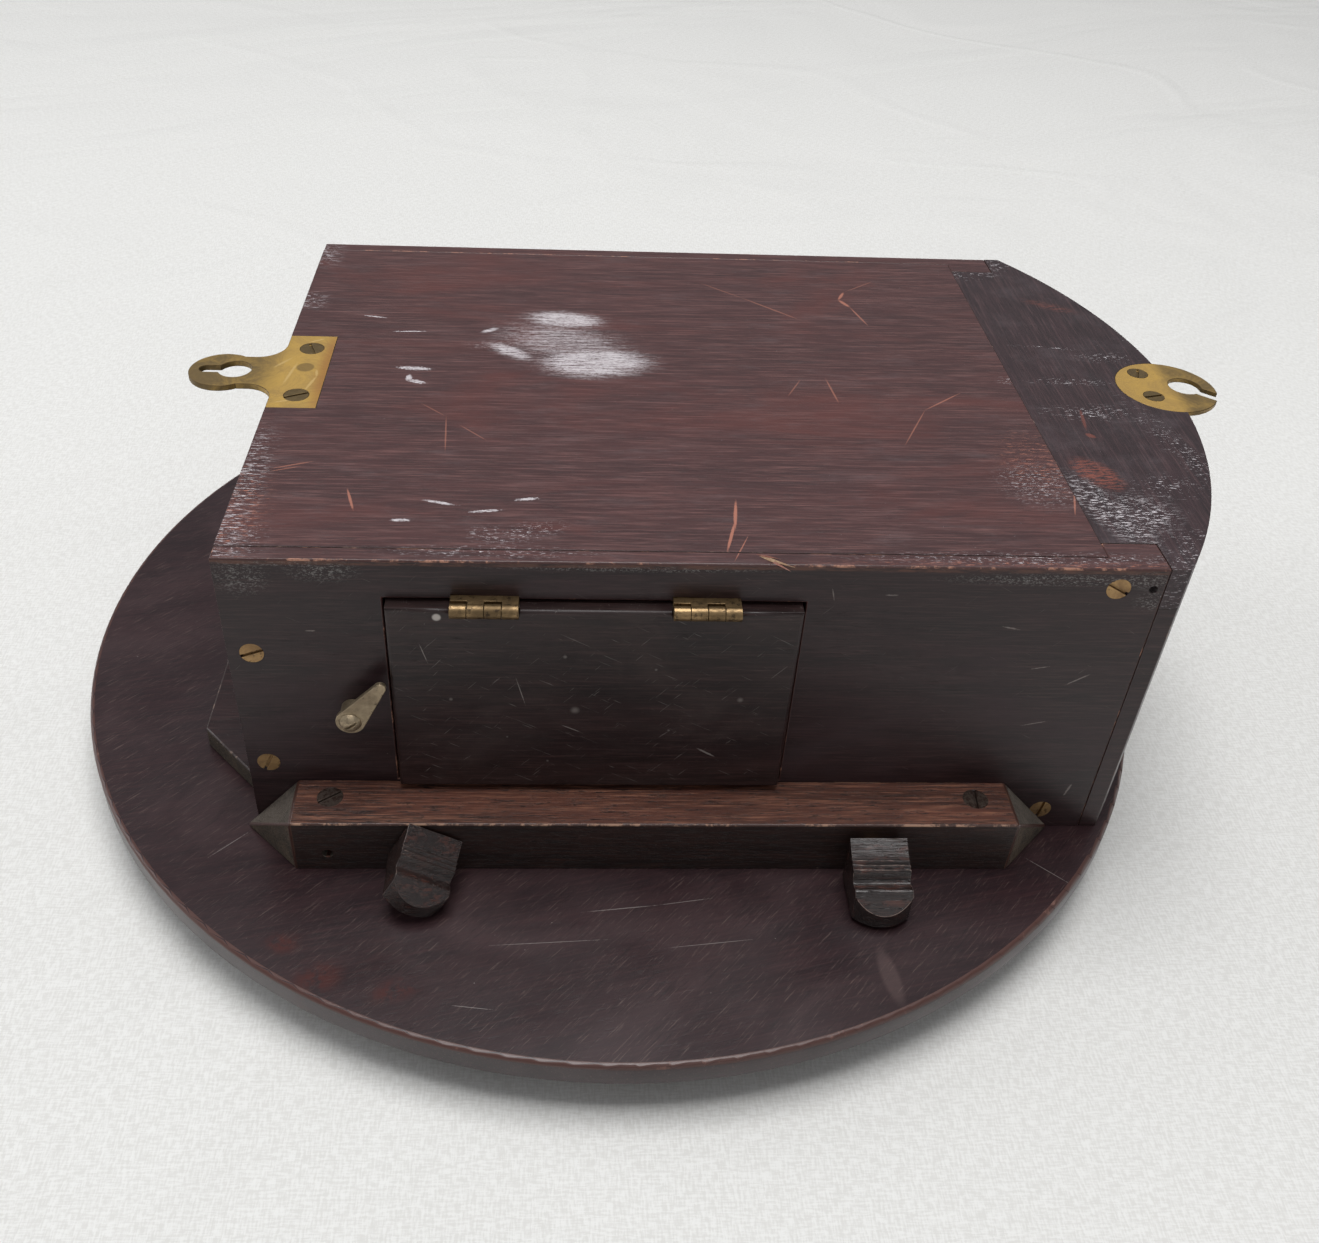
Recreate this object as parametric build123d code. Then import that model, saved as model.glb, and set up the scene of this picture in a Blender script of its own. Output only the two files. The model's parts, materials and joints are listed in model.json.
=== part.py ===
from build123d import *
import math
import os

# Round wall dial clock lying on its face: a turned surround with a box behind it.
# +Z runs out of the back of the clock, 12 o'clock is towards -X, 3 o'clock towards -Y.
# Pieces are laid out about the dial's axis with z = 0 on the back face of the surround.
# They are moved together at the end, so the clock rests at z = 0, centred on its footprint.

os.makedirs("parts", exist_ok=True)

# turned surround (15 inch) and the parts in front of it
SURROUND_R = 190.5
FRONT_DEPTH = 22.0
WOOD_FRONT = 16.0
WEB = 9.0
RIM = 8.0
ARRIS_R = 1.5
MOULDING_END = 3.5
DIAL_RECESS = 1.5
DIAL_R = 152.0
DIAL_T = 1.2
BEZEL_R = 163.0
GLASS_R = 152.2
WINDOW_X0 = -70.0
WINDOW_X1 = 90.0
WINDOW_Y = 76.0

# box
BOX_X0 = -115.0
BOX_X1 = 155.0
BOX_Y = 104.5
BOX_H = 105.0
SIDE_T = 12.5
END_T = 12.5
LIP = 5.8
BACK_T = 8.0
BOTTOM_PIECE_T = 14.0
BACK_JOINT_X = 133.0
END_CURVE_R = 180.0
CURVED_T = 14.0
SIDE_SHORT = 5.6
RAIL_W = 14.0
RAIL_H = 14.0

# side door and its butts
DOOR_X0 = -69.0
DOOR_X1 = 47.5
DOOR_LIFT = 2.0
DOOR_DROP = 14.0
DOOR_T = 10.0
DOOR_PROUD = 4.0
DOOR_GAP = 0.8
DOOR_ROUND = 1.2
HINGE_L = 19.0
HINGE_OUT = 0.7
KNUCKLES = 4
KNUCKLE_GAP = 0.15
DOOR_LEAF_DEEP = 9.0
CASE_LEAF_DEEP = 12.5
HINGE_STARTS = (-51.0, 10.7)
BARREL_R = 2.1
PIN_R = 0.9
LEAF_T = 1.35

# turn latch
LATCH_ASIDE = 12.2
LATCH_Z = 50.8
LATCH_BOSS_R = 3.4
LATCH_END_R = 4.3
LATCH_TIP_R = 1.7
LATCH_LENGTH = 17.8
LATCH_T = 1.5
LATCH_REST = 54.0
LATCH_STAND = 5.0

# battens and pegs
BATTEN_W = 18.0
BATTEN_H = 20.0
BATTEN_X0 = -100.7
BATTEN_X1 = 120.5
TIP_X0 = -119.0
TIP_X1 = 139.0
END_BATTEN_T = 8.0
END_BATTEN_W = 23.5
END_BATTEN_LONG = 94.6
END_BATTEN_SHORT = 69.5
PEG_R = 3.0
PEG_GAP = 0.05
PEG_W = 17.5
PEG_TIP = 4.0

# plates let into the back
HANG_T = 2.0
HANG_IN = 16.0
HANG_Y0 = -24.3
HANG_Y1 = 25.2
HANG_EYE_OUT = 18.3
HANG_EYE_R = 11.0
HANG_NECK_Y = 9.3
SHOULDER_R = 9.0
KEYHOLE_R = 5.5
KEYHOLE_Y = 0.6
KEYHOLE_SLOT_R = 2.25
STAY_T = 1.6
STAY_IN = 2.04
STAY_Y = 0.5
STAY_R = 17.0
STAY_HOLE_R = 5.5
STAY_SLOT = 5.0

# movement
PLATE_T = 2.5
PLATE_Z0 = 4.0
PILLAR_L = 43.5
PLATE_X0 = -60.0
PLATE_X1 = 80.0
PLATE_Y = 66.0
FUSEE_X = 34.0
FUSEE_Y = -24.0
GREAT_R = 37.3
BARREL_X = 36.0
BARREL_Y = 30.0
SPRING_BARREL_R = 25.0
ARBOR_R = 2.5
PENDULUM_X = -44.0
PENDULUM_L = 144.0
BOB_R = 24.0

BATTEN_Y = BOX_Y + BATTEN_W
INNER_Y = BOX_Y - SIDE_T
LIP_Y = BOX_Y - LIP
SIDE_END_X = BOX_X1 - SIDE_SHORT
CURVE_X = BOX_X1 - math.sqrt(END_CURVE_R ** 2 - BOX_Y ** 2)
CURVE_TIP_X = CURVE_X + END_CURVE_R
RAIL_X = BACK_JOINT_X + 2.0
DOOR_Z0 = BATTEN_H + DOOR_LIFT
DOOR_Z1 = BOX_H - DOOR_DROP
DOOR_Y0 = -BOX_Y - DOOR_PROUD
HINGE_Y = DOOR_Y0 - HINGE_OUT
HINGE_Z = DOOR_Z1 + 0.4
CASE_LEAF_Z = DOOR_Z1 + 0.9
LATCH_X = DOOR_X0 - LATCH_ASIDE
END_BATTEN_X = BOX_X0 - END_BATTEN_W
HANG_EYE_X = BOX_X0 - HANG_EYE_OUT
KEYHOLE_X = HANG_EYE_X + 3.9
STAY_X = CURVE_TIP_X - STAY_IN
STAY_HOLE_X = STAY_X + 6.9
STAY_HOLE_Y = STAY_Y + 1.0
FOOT_SPOTS = ((-52.0, -58.0), (-52.0, 58.0), (72.0, -58.0), (72.0, 58.0))
PLATE_Z1 = PLATE_Z0 + PLATE_T
BACK_PLATE_Z = PLATE_Z1 + PILLAR_L
BACK_PLATE_TOP = BACK_PLATE_Z + PLATE_T
WINDING_R = 6.0


def block(x0, x1, y0, y1, z0, z1):
    """Rectangular solid between two corners."""
    solid = Box(x1 - x0, y1 - y0, z1 - z0)
    return Pos((x0 + x1) / 2, (y0 + y1) / 2, (z0 + z1) / 2) * solid


def rod_z(x, y, z0, z1, r):
    """Round rod along Z."""
    return Pos(x, y, (z0 + z1) / 2) * Cylinder(r, z1 - z0)


def rod_y(x, z, y0, y1, r):
    """Round rod along Y."""
    return Pos(x, (y0 + y1) / 2, z) * Rot(90, 0, 0) * Cylinder(r, y1 - y0)


def rod_x(y, z, x0, x1, r):
    """Round rod along X."""
    return Pos((x0 + x1) / 2, y, z) * Rot(0, 90, 0) * Cylinder(r, x1 - x0)


def prism(points, z0, z1):
    """Polygon in XY raised from z0 to z1."""
    face = make_face(Polyline(*points, close=True))
    return Pos(0, 0, z0) * extrude(face, amount=z1 - z0, dir=(0, 0, 1))


def in_xz(points):
    """(radius, z) points on the XZ plane."""
    return [(r, 0, z) for r, z in points]


def turned(points):
    """Profile of (radius, z) points turned about Z."""
    face = make_face(Polyline(*in_xz(points), close=True))
    return revolve(face, Axis.Z, 360)


def screw(head_r, shank_r, length, slot=True):
    """Countersunk slotted wood screw, head top at z = 0, running down -Z."""
    cone = head_r - shank_r
    body = turned([(0, 0), (head_r, 0), (head_r, -0.5), (shank_r, -0.5 - cone), (shank_r, -length), (0, -length)])
    if slot:
        body = body - Box(head_r * 2.2, 0.9, 1.6)
    return body


def at_side(x, z, angle, solid, out=0.0):
    """Put a piece that runs down -Z on the near side face, running into the box."""
    return Pos(x, -BOX_Y - out, z) * Rot(90, 0, 0) * Rot(0, 0, angle) * solid


def far(solid):
    """The same piece on the far side."""
    return mirror(solid, Plane.XZ)


pieces = {}

# ---------------------------------------------------------------- screw places
SIDE_SCREWS = ((BOX_X0 + 7.0, 71.5, 20.0), (BOX_X0 + 6.3, 27.8, 65.0),
               (BACK_JOINT_X + 3.0, BOX_H - 7.0, -30.0), (RAIL_X, 7.8, 80.0))
side_screw = screw(3.5, 1.6, 26.0)
side_screw_hole = screw(3.5, 1.6, 26.0, slot=False)
BATTEN_SCREWS = (-90.0, 109.5)
batten_screw = screw(4.0, 2.0, BATTEN_H + 6.0)
batten_screw_hole = screw(4.0, 2.0, BATTEN_H + 6.0, slot=False)
BATTEN_SCREW_Y = -BOX_Y - 7.0

# ---------------------------------------------------------------- surround
back_line = Polyline(*in_xz([(0, -WEB), (0, 0), (SURROUND_R - ARRIS_R, 0)]))
bulge = ARRIS_R * (1 - math.cos(math.radians(45)))
arris = ThreePointArc((SURROUND_R - ARRIS_R, 0, 0), (SURROUND_R - bulge, 0, -bulge), (SURROUND_R, 0, -ARRIS_R))
rim_line = Line((SURROUND_R, 0, -ARRIS_R), (SURROUND_R, 0, -RIM))
moulding = Spline(*in_xz([(SURROUND_R, -RIM), (SURROUND_R - 3.5, -11.4), (SURROUND_R - 12.5, -13.4),
                          (BEZEL_R + MOULDING_END, -WOOD_FRONT)]))
seat = Polyline(*in_xz([(BEZEL_R + MOULDING_END, -WOOD_FRONT), (DIAL_R + DIAL_RECESS, -WOOD_FRONT),
                        (DIAL_R + DIAL_RECESS, -WEB), (0, -WEB)]))
surround = revolve(make_face([back_line, arris, rim_line, moulding, seat]), Axis.Z, 360)
window = block(WINDOW_X0, WINDOW_X1, -WINDOW_Y, WINDOW_Y, -WEB - 1, 1)
window = fillet(window.edges().filter_by(Axis.Z), 10)
surround = surround - window
BRACKET_Y0 = -171.0
BRACKET_Y1 = -164.6
BRACKET_X = 11.0
bracket_leaf = block(-BRACKET_X, BRACKET_X, BRACKET_Y0, BRACKET_Y1, -WOOD_FRONT, -WOOD_FRONT + 1.5)
surround = surround - bracket_leaf
for sx in BATTEN_SCREWS:
    hole = Pos(sx, BATTEN_SCREW_Y, BATTEN_H) * batten_screw_hole
    surround = surround - hole
    surround = surround - far(hole)
pieces["dial_surround"] = surround

# ---------------------------------------------------------------- battens
plan = prism([(BATTEN_X0, -BATTEN_Y), (BATTEN_X1, -BATTEN_Y), (TIP_X1, -BOX_Y), (TIP_X0, -BOX_Y)], 0, BATTEN_H)
elevation_face = make_face(Polyline((TIP_X0, -BATTEN_Y, 0), (TIP_X1, -BATTEN_Y, 0), (BATTEN_X1, -BATTEN_Y, BATTEN_H),
                                    (BATTEN_X0, -BATTEN_Y, BATTEN_H), close=True))
elevation = extrude(elevation_face, amount=BATTEN_W, dir=(0, 1, 0))
batten = plan & elevation
for sx in BATTEN_SCREWS:
    batten = batten - Pos(sx, BATTEN_SCREW_Y, BATTEN_H) * batten_screw_hole
# pegs: x, z of the shank, turn, gap behind the head, height of the head against the tallest
NEAR_PEGS = ((-60.5, 11.1, 28.0, 1.0, 0.90), (76.5, 10.0, 0.0, 3.5, 1.0))
FAR_PEGS = ((-60.5, 11.1, -12.0, 1.5, 0.94), (76.5, 10.0, 6.0, 2.0, 0.94))


def peg_hole(x, z):
    """Hole for a peg through batten and box side."""
    return rod_y(x, z, -BATTEN_Y - 1, -INNER_Y + 1, PEG_R + PEG_GAP)


near_batten = batten - rod_y(-90.4, 7.0, -BATTEN_Y - 1, -BATTEN_Y + 12, 1.75)
far_batten = far(batten)
for x, z, turn, gap, tall in NEAR_PEGS:
    near_batten = near_batten - peg_hole(x, z)
for x, z, turn, gap, tall in FAR_PEGS:
    far_batten = far_batten - far(peg_hole(x, z))
pieces["side_batten_near"] = near_batten
pieces["side_batten_far"] = far_batten
pieces["end_batten"] = prism([(BOX_X0, -END_BATTEN_LONG), (END_BATTEN_X, -END_BATTEN_SHORT),
                              (END_BATTEN_X, END_BATTEN_SHORT), (BOX_X0, END_BATTEN_LONG)], 0, END_BATTEN_T)
near_batten_screws = Part()
for i, sx in enumerate(BATTEN_SCREWS):
    placed_screw = Pos(sx, BATTEN_SCREW_Y, BATTEN_H) * Rot(0, 0, 35 + 50 * i) * batten_screw
    near_batten_screws = near_batten_screws + placed_screw
pieces["batten_screws_near"] = near_batten_screws
pieces["batten_screws_far"] = far(near_batten_screws)

# ---------------------------------------------------------------- pegs
PEG_TALL = 8.4
PEG_LOW = 8.5
PEG_DEEP = 20.1
PEG_FRONT_R = 11.6
RIBS = 3
RIB_PITCH = 1.4


def peg_outline(tall):
    """Side view of a peg head: a slope, three ribs, a hollow and a lip with a slanting front."""
    top = [(0, PEG_TALL), (5.0, 6.0)]
    for k in range(RIBS):
        top = top + [(5.9 + RIB_PITCH * k, 5.0 - 0.4 * k), (6.6 + RIB_PITCH * k, 5.8 - 0.5 * k)]
    top = top + [(10.1, 3.1)]
    lip = (15.2, 1.7)
    hollow = Spline(*[(0, -d, v * tall) for d, v in ((10.1, 3.1), (12.2, 1.2), (14.0, 1.9), lip)])
    upper = Polyline(*[(0, -d, v * tall) for d, v in top])
    front = [lip, (PEG_DEEP, -3.4), (PEG_DEEP, -PEG_LOW), (0, -PEG_LOW), (0, PEG_TALL)]
    lower = Polyline(*[(0, -d, v * tall) for d, v in front])
    return make_face([upper, hollow, lower])


sagitta = PEG_FRONT_R - math.sqrt(PEG_FRONT_R ** 2 - (PEG_W / 2) ** 2)
peg_plan = block(-PEG_W, PEG_W, sagitta - PEG_DEEP, 1, -BATTEN_H, BATTEN_H)
peg_plan = peg_plan + rod_z(0, PEG_FRONT_R - PEG_DEEP, -BATTEN_H, BATTEN_H, PEG_FRONT_R)


def peg(x, z, turn, gap, tall):
    """Peg with a moulded head, round in front, shank along +Y."""
    peg_head = Pos(-PEG_W / 2, 0, 0) * extrude(peg_outline(tall), amount=PEG_W, dir=(1, 0, 0))
    peg_head = peg_head & peg_plan
    reach = gap + BATTEN_W + SIDE_T + PEG_TIP
    shank = rod_y(0, 0, 0, reach - 1.5, PEG_R)
    point = Pos(0, reach - 0.75, 0) * Rot(-90, 0, 0) * Cone(PEG_R, PEG_R - 1.0, 1.5)
    whole = peg_head + shank + point
    return Pos(x, -BATTEN_Y - gap, z) * Rot(0, turn, 0) * whole


for i, spec in enumerate(NEAR_PEGS):
    pieces["peg_near_%d" % (i + 1)] = peg(*spec)
for i, spec in enumerate(FAR_PEGS):
    pieces["peg_far_%d" % (i + 1)] = far(peg(*spec))

# ---------------------------------------------------------------- box
side = block(BOX_X0, SIDE_END_X, -BOX_Y, -INNER_Y, 0, BOX_H)
side = side - block(BOX_X0 - 1, BACK_JOINT_X, -LIP_Y, -INNER_Y + 1, BOX_H - BACK_T, BOX_H + 1)
for x, z, turn in SIDE_SCREWS:
    side = side - at_side(x, z, 0, side_screw_hole)
near_side = side
far_side = far(side)
for x, z, turn, gap, tall in NEAR_PEGS:
    near_side = near_side - peg_hole(x, z)
for x, z, turn, gap, tall in FAR_PEGS:
    far_side = far_side - far(peg_hole(x, z))
near_side = near_side - block(DOOR_X0 - DOOR_GAP, DOOR_X1 + DOOR_GAP, -BOX_Y - 1, -INNER_Y + 1,
                              DOOR_Z0 - 1.0, DOOR_Z1 + 1.0)
LATCH_SCREW_L = 18.0
latch_screw = turned([(0, 2.0), (1.4, 1.85), (2.5, 1.2), (3.25, 0.1), (3.25, 0), (1.6, 0), (1.6, -LATCH_SCREW_L),
                      (0, -LATCH_SCREW_L)])
latch_screw = latch_screw - Pos(0, 0, 2.0) * Box(7, 0.8, 1.8)
near_side = near_side - rod_y(LATCH_X, LATCH_Z, -BOX_Y - 1, -INNER_Y + 1, 1.6)
near_side = near_side - at_side(BACK_JOINT_X + 13.0, BOX_H - 7.0, 0, Cylinder(1.3, 10))
for x0 in HINGE_STARTS:
    near_side = near_side - block(x0, x0 + HINGE_L, -BOX_Y - 1, DOOR_Y0 + CASE_LEAF_DEEP,
                                  CASE_LEAF_Z, CASE_LEAF_Z + LEAF_T)
pieces["side_board_near"] = near_side
pieces["side_board_far"] = far_side

top_end = block(BOX_X0, BOX_X0 + END_T, -INNER_Y, INNER_Y, 0, BOX_H - BACK_T)
rail = block(RAIL_X - RAIL_W / 2, RAIL_X + RAIL_W / 2, -INNER_Y, INNER_Y, 1.0, 1.0 + RAIL_H)
back = block(BOX_X0, BACK_JOINT_X, -LIP_Y, LIP_Y, BOX_H - BACK_T, BOX_H)
curve_disc = rod_z(CURVE_X, 0, 0, BOX_H, END_CURVE_R)
inner_disc = rod_z(CURVE_X, 0, -1, BOX_H + 1, END_CURVE_R - CURVED_T)
curved = curve_disc & block(SIDE_END_X, CURVE_TIP_X + 1, -BOX_Y, BOX_Y, 0, BOX_H - BOTTOM_PIECE_T)
curved = curved - inner_disc
bottom_piece = block(BACK_JOINT_X, SIDE_END_X, -INNER_Y, INNER_Y, BOX_H - BOTTOM_PIECE_T, BOX_H)
bottom_piece = bottom_piece + block(SIDE_END_X, CURVE_TIP_X + 1, -BOX_Y, BOX_Y, BOX_H - BOTTOM_PIECE_T, BOX_H)
bottom_piece = bottom_piece & curve_disc
for x, z, turn in SIDE_SCREWS:
    hole = at_side(x, z, 0, side_screw_hole)
    top_end = top_end - hole
    top_end = top_end - far(hole)
    rail = rail - hole
    rail = rail - far(hole)
    bottom_piece = bottom_piece - hole
    bottom_piece = bottom_piece - far(hole)

case_screws = Part()
for x, z, turn in SIDE_SCREWS:
    case_screws = case_screws + at_side(x, z, turn, side_screw)
pieces["case_screws_near"] = case_screws
pieces["case_screws_far"] = far(case_screws)

# ---------------------------------------------------------------- hanging plate
HANG_X1 = BOX_X0 + HANG_IN
SHOULDER_X = BOX_X0 - SHOULDER_R
SHOULDER_Y = HANG_NECK_Y + SHOULDER_R
HANG_Z0 = BOX_H - HANG_T
hang = block(BOX_X0, HANG_X1, HANG_Y0, HANG_Y1, HANG_Z0, BOX_H)
hang = hang + block(SHOULDER_X, BOX_X0, -SHOULDER_Y, SHOULDER_Y, HANG_Z0, BOX_H)
for sy in (-SHOULDER_Y, SHOULDER_Y):
    hang = hang - rod_z(SHOULDER_X, sy, HANG_Z0 - 1, BOX_H + 1, SHOULDER_R)
hang = hang + block(HANG_EYE_X, SHOULDER_X, -HANG_NECK_Y, HANG_NECK_Y, HANG_Z0, BOX_H)
hang = hang + rod_z(HANG_EYE_X, 0, HANG_Z0, BOX_H, HANG_EYE_R)
hang_blank = block(BOX_X0, HANG_X1, HANG_Y0, HANG_Y1, HANG_Z0, BOX_H + 1)
slot_end_x = HANG_EYE_X - HANG_EYE_R + KEYHOLE_R
hang = hang - rod_z(KEYHOLE_X, KEYHOLE_Y, HANG_Z0 - 1, BOX_H + 1, KEYHOLE_R)
hang = hang - block(slot_end_x, KEYHOLE_X, KEYHOLE_Y - KEYHOLE_SLOT_R, KEYHOLE_Y + KEYHOLE_SLOT_R,
                    HANG_Z0 - 1, BOX_H + 1)
hang = hang - rod_z(slot_end_x, KEYHOLE_Y, HANG_Z0 - 1, BOX_H + 1, KEYHOLE_SLOT_R)
back = back - hang_blank
HANG_SCREWS = ((BOX_X0 + 8.5, -16.0, 25.0), (BOX_X0 + 8.5, 16.0, 110.0))
hang_screw = screw(4.0, 1.8, 22.0)
hang_screw_hole = screw(4.0, 1.8, 22.0, slot=False)
hang_screws = Part()
for x, y, turn in HANG_SCREWS:
    hole = Pos(x, y, BOX_H) * hang_screw_hole
    hang = hang - hole
    back = back - hole
    top_end = top_end - hole
    hang_screws = hang_screws + Pos(x, y, BOX_H) * Rot(0, 0, turn) * hang_screw
pieces["hanging_screws"] = hang_screws
pieces["hanging_plate"] = hang
pieces["top_end_board"] = top_end
pieces["back_board"] = back
pieces["inner_cross_rail"] = rail

# ---------------------------------------------------------------- stay plate
stay_blank = rod_z(STAY_X, STAY_Y, BOX_H - STAY_T, BOX_H + 1, STAY_R)
stay = rod_z(STAY_X, STAY_Y, BOX_H - STAY_T, BOX_H, STAY_R)
stay = stay - rod_z(STAY_HOLE_X, STAY_HOLE_Y, BOX_H - 5, BOX_H + 1, STAY_HOLE_R)
slot_cut = Pos(STAY_R / 2, 0, BOX_H) * Box(STAY_R, STAY_SLOT, 6.0)
stay = stay - Pos(STAY_HOLE_X, STAY_HOLE_Y, 0) * Rot(0, 0, -40) * slot_cut
bottom_piece = bottom_piece - stay_blank
STAY_SCREWS = ((STAY_X - 6.6, STAY_Y + 9.5, 70.0), (STAY_X - 6.6, STAY_Y - 6.5, 15.0))
stay_screw = screw(3.4, 1.5, 20.0)
stay_screw_hole = screw(3.4, 1.5, 20.0, slot=False)
stay_screws = Part()
for x, y, turn in STAY_SCREWS:
    hole = Pos(x, y, BOX_H) * stay_screw_hole
    stay = stay - hole
    curved = curved - hole
    bottom_piece = bottom_piece - hole
    stay_screws = stay_screws + Pos(x, y, BOX_H) * Rot(0, 0, turn) * stay_screw
pieces["stay_screws"] = stay_screws
pieces["stay_plate"] = stay
pieces["curved_bottom_board"] = curved
pieces["bottom_back_piece"] = bottom_piece

# ---------------------------------------------------------------- side door
door = block(DOOR_X0, DOOR_X1, DOOR_Y0, DOOR_Y0 + DOOR_T, DOOR_Z0, DOOR_Z1)
door = fillet(door.faces().sort_by(Axis.Y)[0].edges(), DOOR_ROUND)
LEAF_Y = HINGE_Y + BARREL_R + 0.2
KNUCKLE = (HINGE_L - (KNUCKLES - 1) * KNUCKLE_GAP) / KNUCKLES
DOOR_LEAF_Y1 = DOOR_Y0 + DOOR_LEAF_DEEP
for n, x0 in enumerate(HINGE_STARTS):
    x1 = x0 + HINGE_L
    door = door - block(x0, x1, DOOR_Y0 - 1, DOOR_LEAF_Y1, DOOR_Z1 - LEAF_T, DOOR_Z1 + 1)
    door = door - rod_x(HINGE_Y, HINGE_Z, x0 - 0.3, x1 + 0.3, BARREL_R + 0.3)
    door_leaf = block(x0, x1, LEAF_Y, DOOR_LEAF_Y1, DOOR_Z1 - LEAF_T, DOOR_Z1)
    case_leaf = block(x0, x1, LEAF_Y, DOOR_Y0 + CASE_LEAF_DEEP, CASE_LEAF_Z, CASE_LEAF_Z + LEAF_T)
    for k in range(KNUCKLES):
        k0 = x0 + k * (KNUCKLE + KNUCKLE_GAP)
        k1 = k0 + KNUCKLE
        knuckle = rod_x(HINGE_Y, HINGE_Z, k0, k1, BARREL_R)
        if k % 2 == 0:
            web = block(k0, k1, HINGE_Y, LEAF_Y + 0.1, DOOR_Z1 - LEAF_T, DOOR_Z1)
            door_leaf = door_leaf + knuckle + web
        else:
            web = block(k0, k1, HINGE_Y, LEAF_Y + 0.1, CASE_LEAF_Z, CASE_LEAF_Z + LEAF_T)
            case_leaf = case_leaf + knuckle + web
    door_leaf = door_leaf - rod_x(HINGE_Y, HINGE_Z, x0 - 1, x1 + 1, PIN_R + 0.05)
    case_leaf = case_leaf - rod_x(HINGE_Y, HINGE_Z, x0 - 1, x1 + 1, PIN_R)
    pieces["door_leaf_%d" % (n + 1)] = door_leaf
    pieces["case_leaf_%d" % (n + 1)] = case_leaf
    pieces["door_hinge_pin_%d" % (n + 1)] = rod_x(HINGE_Y, HINGE_Z, x0, x1, PIN_R)
pieces["side_door"] = door

# ---------------------------------------------------------------- turn latch
tip_d = LATCH_LENGTH - LATCH_TIP_R
slope = math.asin((LATCH_END_R - LATCH_TIP_R) / tip_d)
sn = math.sin(slope)
cs = math.cos(slope)
flank = [(LATCH_END_R * sn, LATCH_END_R * cs), (tip_d + LATCH_TIP_R * sn, LATCH_TIP_R * cs),
         (tip_d + LATCH_TIP_R * sn, -LATCH_TIP_R * cs), (LATCH_END_R * sn, -LATCH_END_R * cs)]
latch = rod_z(0, 0, 0, LATCH_T, LATCH_END_R) + rod_z(tip_d, 0, 0, LATCH_T, LATCH_TIP_R) + prism(flank, 0, LATCH_T)
latch = latch + rod_z(0, 0, -LATCH_STAND, 0, LATCH_BOSS_R)
latch = latch - rod_z(0, 0, -LATCH_STAND - 1, LATCH_T + 1, 1.65)
latch = Rot(90, 0, 0) * Rot(0, 0, LATCH_REST) * latch
pieces["turn_latch"] = Pos(LATCH_X, -BOX_Y - LATCH_STAND, LATCH_Z) * latch
screw_out = LATCH_STAND + LATCH_T + 0.05
pieces["latch_screw"] = at_side(LATCH_X, LATCH_Z, 32, latch_screw, out=screw_out)

# ---------------------------------------------------------------- bezel, glass and dial
BEZEL_AXIS_Y = -166.5
BEZEL_AXIS_Z = -18.2
bezel = turned([(GLASS_R + 0.1, -WOOD_FRONT), (BEZEL_R, -WOOD_FRONT), (BEZEL_R, -18.4), (162.2, -20.2),
                (160.0, -21.4), (157.0, -FRONT_DEPTH), (155.4, -FRONT_DEPTH), (152.0, -21.2), (149.4, -19.9),
                (148.4, -19.5), (GLASS_R + 0.1, -19.5)])
bezel = bezel + block(-5.0, 5.0, BEZEL_AXIS_Y, -162.4, -19.5, -17.0)
bezel = bezel + rod_x(BEZEL_AXIS_Y, BEZEL_AXIS_Z, -5.0, 5.0, 2.0)
bezel = bezel - rod_x(BEZEL_AXIS_Y, BEZEL_AXIS_Z, -6.0, 6.0, 0.95)
pieces["bezel"] = bezel
pieces["bezel_glass"] = rod_z(0, 0, -19.5, -17.5, GLASS_R)
bracket = bracket_leaf
for x0 in (-BRACKET_X, 5.2):
    x1 = x0 + BRACKET_X - 5.2
    bracket = bracket + rod_x(BEZEL_AXIS_Y, BEZEL_AXIS_Z, x0, x1, 2.0)
    bracket = bracket + block(x0, x1, -168.0, -165.3, BEZEL_AXIS_Z, -WOOD_FRONT + 0.2)
bracket = bracket - rod_x(BEZEL_AXIS_Y, BEZEL_AXIS_Z, -20, 20, 0.9)
pieces["bezel_hinge_bracket"] = bracket
pieces["bezel_hinge_pin"] = rod_x(BEZEL_AXIS_Y, BEZEL_AXIS_Z, -BRACKET_X, BRACKET_X, 0.9)

dial = rod_z(0, 0, -WEB - DIAL_T, -WEB, DIAL_R)
for x, y in FOOT_SPOTS:
    dial = dial + rod_z(x, y, -WEB, PLATE_Z0, 3.0)
dial = dial - rod_z(0, 0, -20, 0, 5.0)
dial = dial - rod_z(FUSEE_X, FUSEE_Y, -20, 0, WINDING_R)
pieces["dial_plate"] = dial

# ---------------------------------------------------------------- hands
PIPE_R = 4.6


def hand(length, width, z0, t):
    """Spade hand pointing to 12 o'clock."""
    stem = prism([(4, 1.6), (-length * 0.62, width * 0.25), (-length * 0.72, width), (-length * 0.8, width * 0.9),
                  (-length, 0.3), (-length, -0.3), (-length * 0.8, -width * 0.9), (-length * 0.72, -width),
                  (-length * 0.62, -width * 0.25), (4, -1.6)], z0, z0 + t)
    return stem


hour = rod_z(0, 0, -12.8, -12.0, 7.0) + hand(88.0, 9.0, -12.8, 0.8)
hour = hour + rod_z(0, 0, -12.8, 2.0, PIPE_R)
hour = hour - rod_z(0, 0, -20, 20, ARBOR_R + 0.08)
pieces["hour_hand"] = Rot(0, 0, 305) * hour
minute = rod_z(0, 0, -15.6, -14.8, 5.5) + hand(132.0, 6.0, -15.6, 0.8)
minute = Rot(0, 0, 60) * minute
minute = minute + rod_z(0, 0, -16.6, BACK_PLATE_Z - 0.3, ARBOR_R)
minute = minute + rod_z(0, 0, BACK_PLATE_Z - 0.3, BACK_PLATE_TOP, 1.5)
minute = minute + rod_z(0, 0, PLATE_Z1 + 0.8, 12.0, 3.6)
minute = minute + rod_z(0, 0, 45.5, 47.5, 26.0)
spokes = rod_z(0, 0, 45.0, 48.0, 21.5) - rod_z(0, 0, 44.0, 49.0, 6.0)
spokes = spokes - block(-30, 30, -2.2, 2.2, 44, 49)
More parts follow.
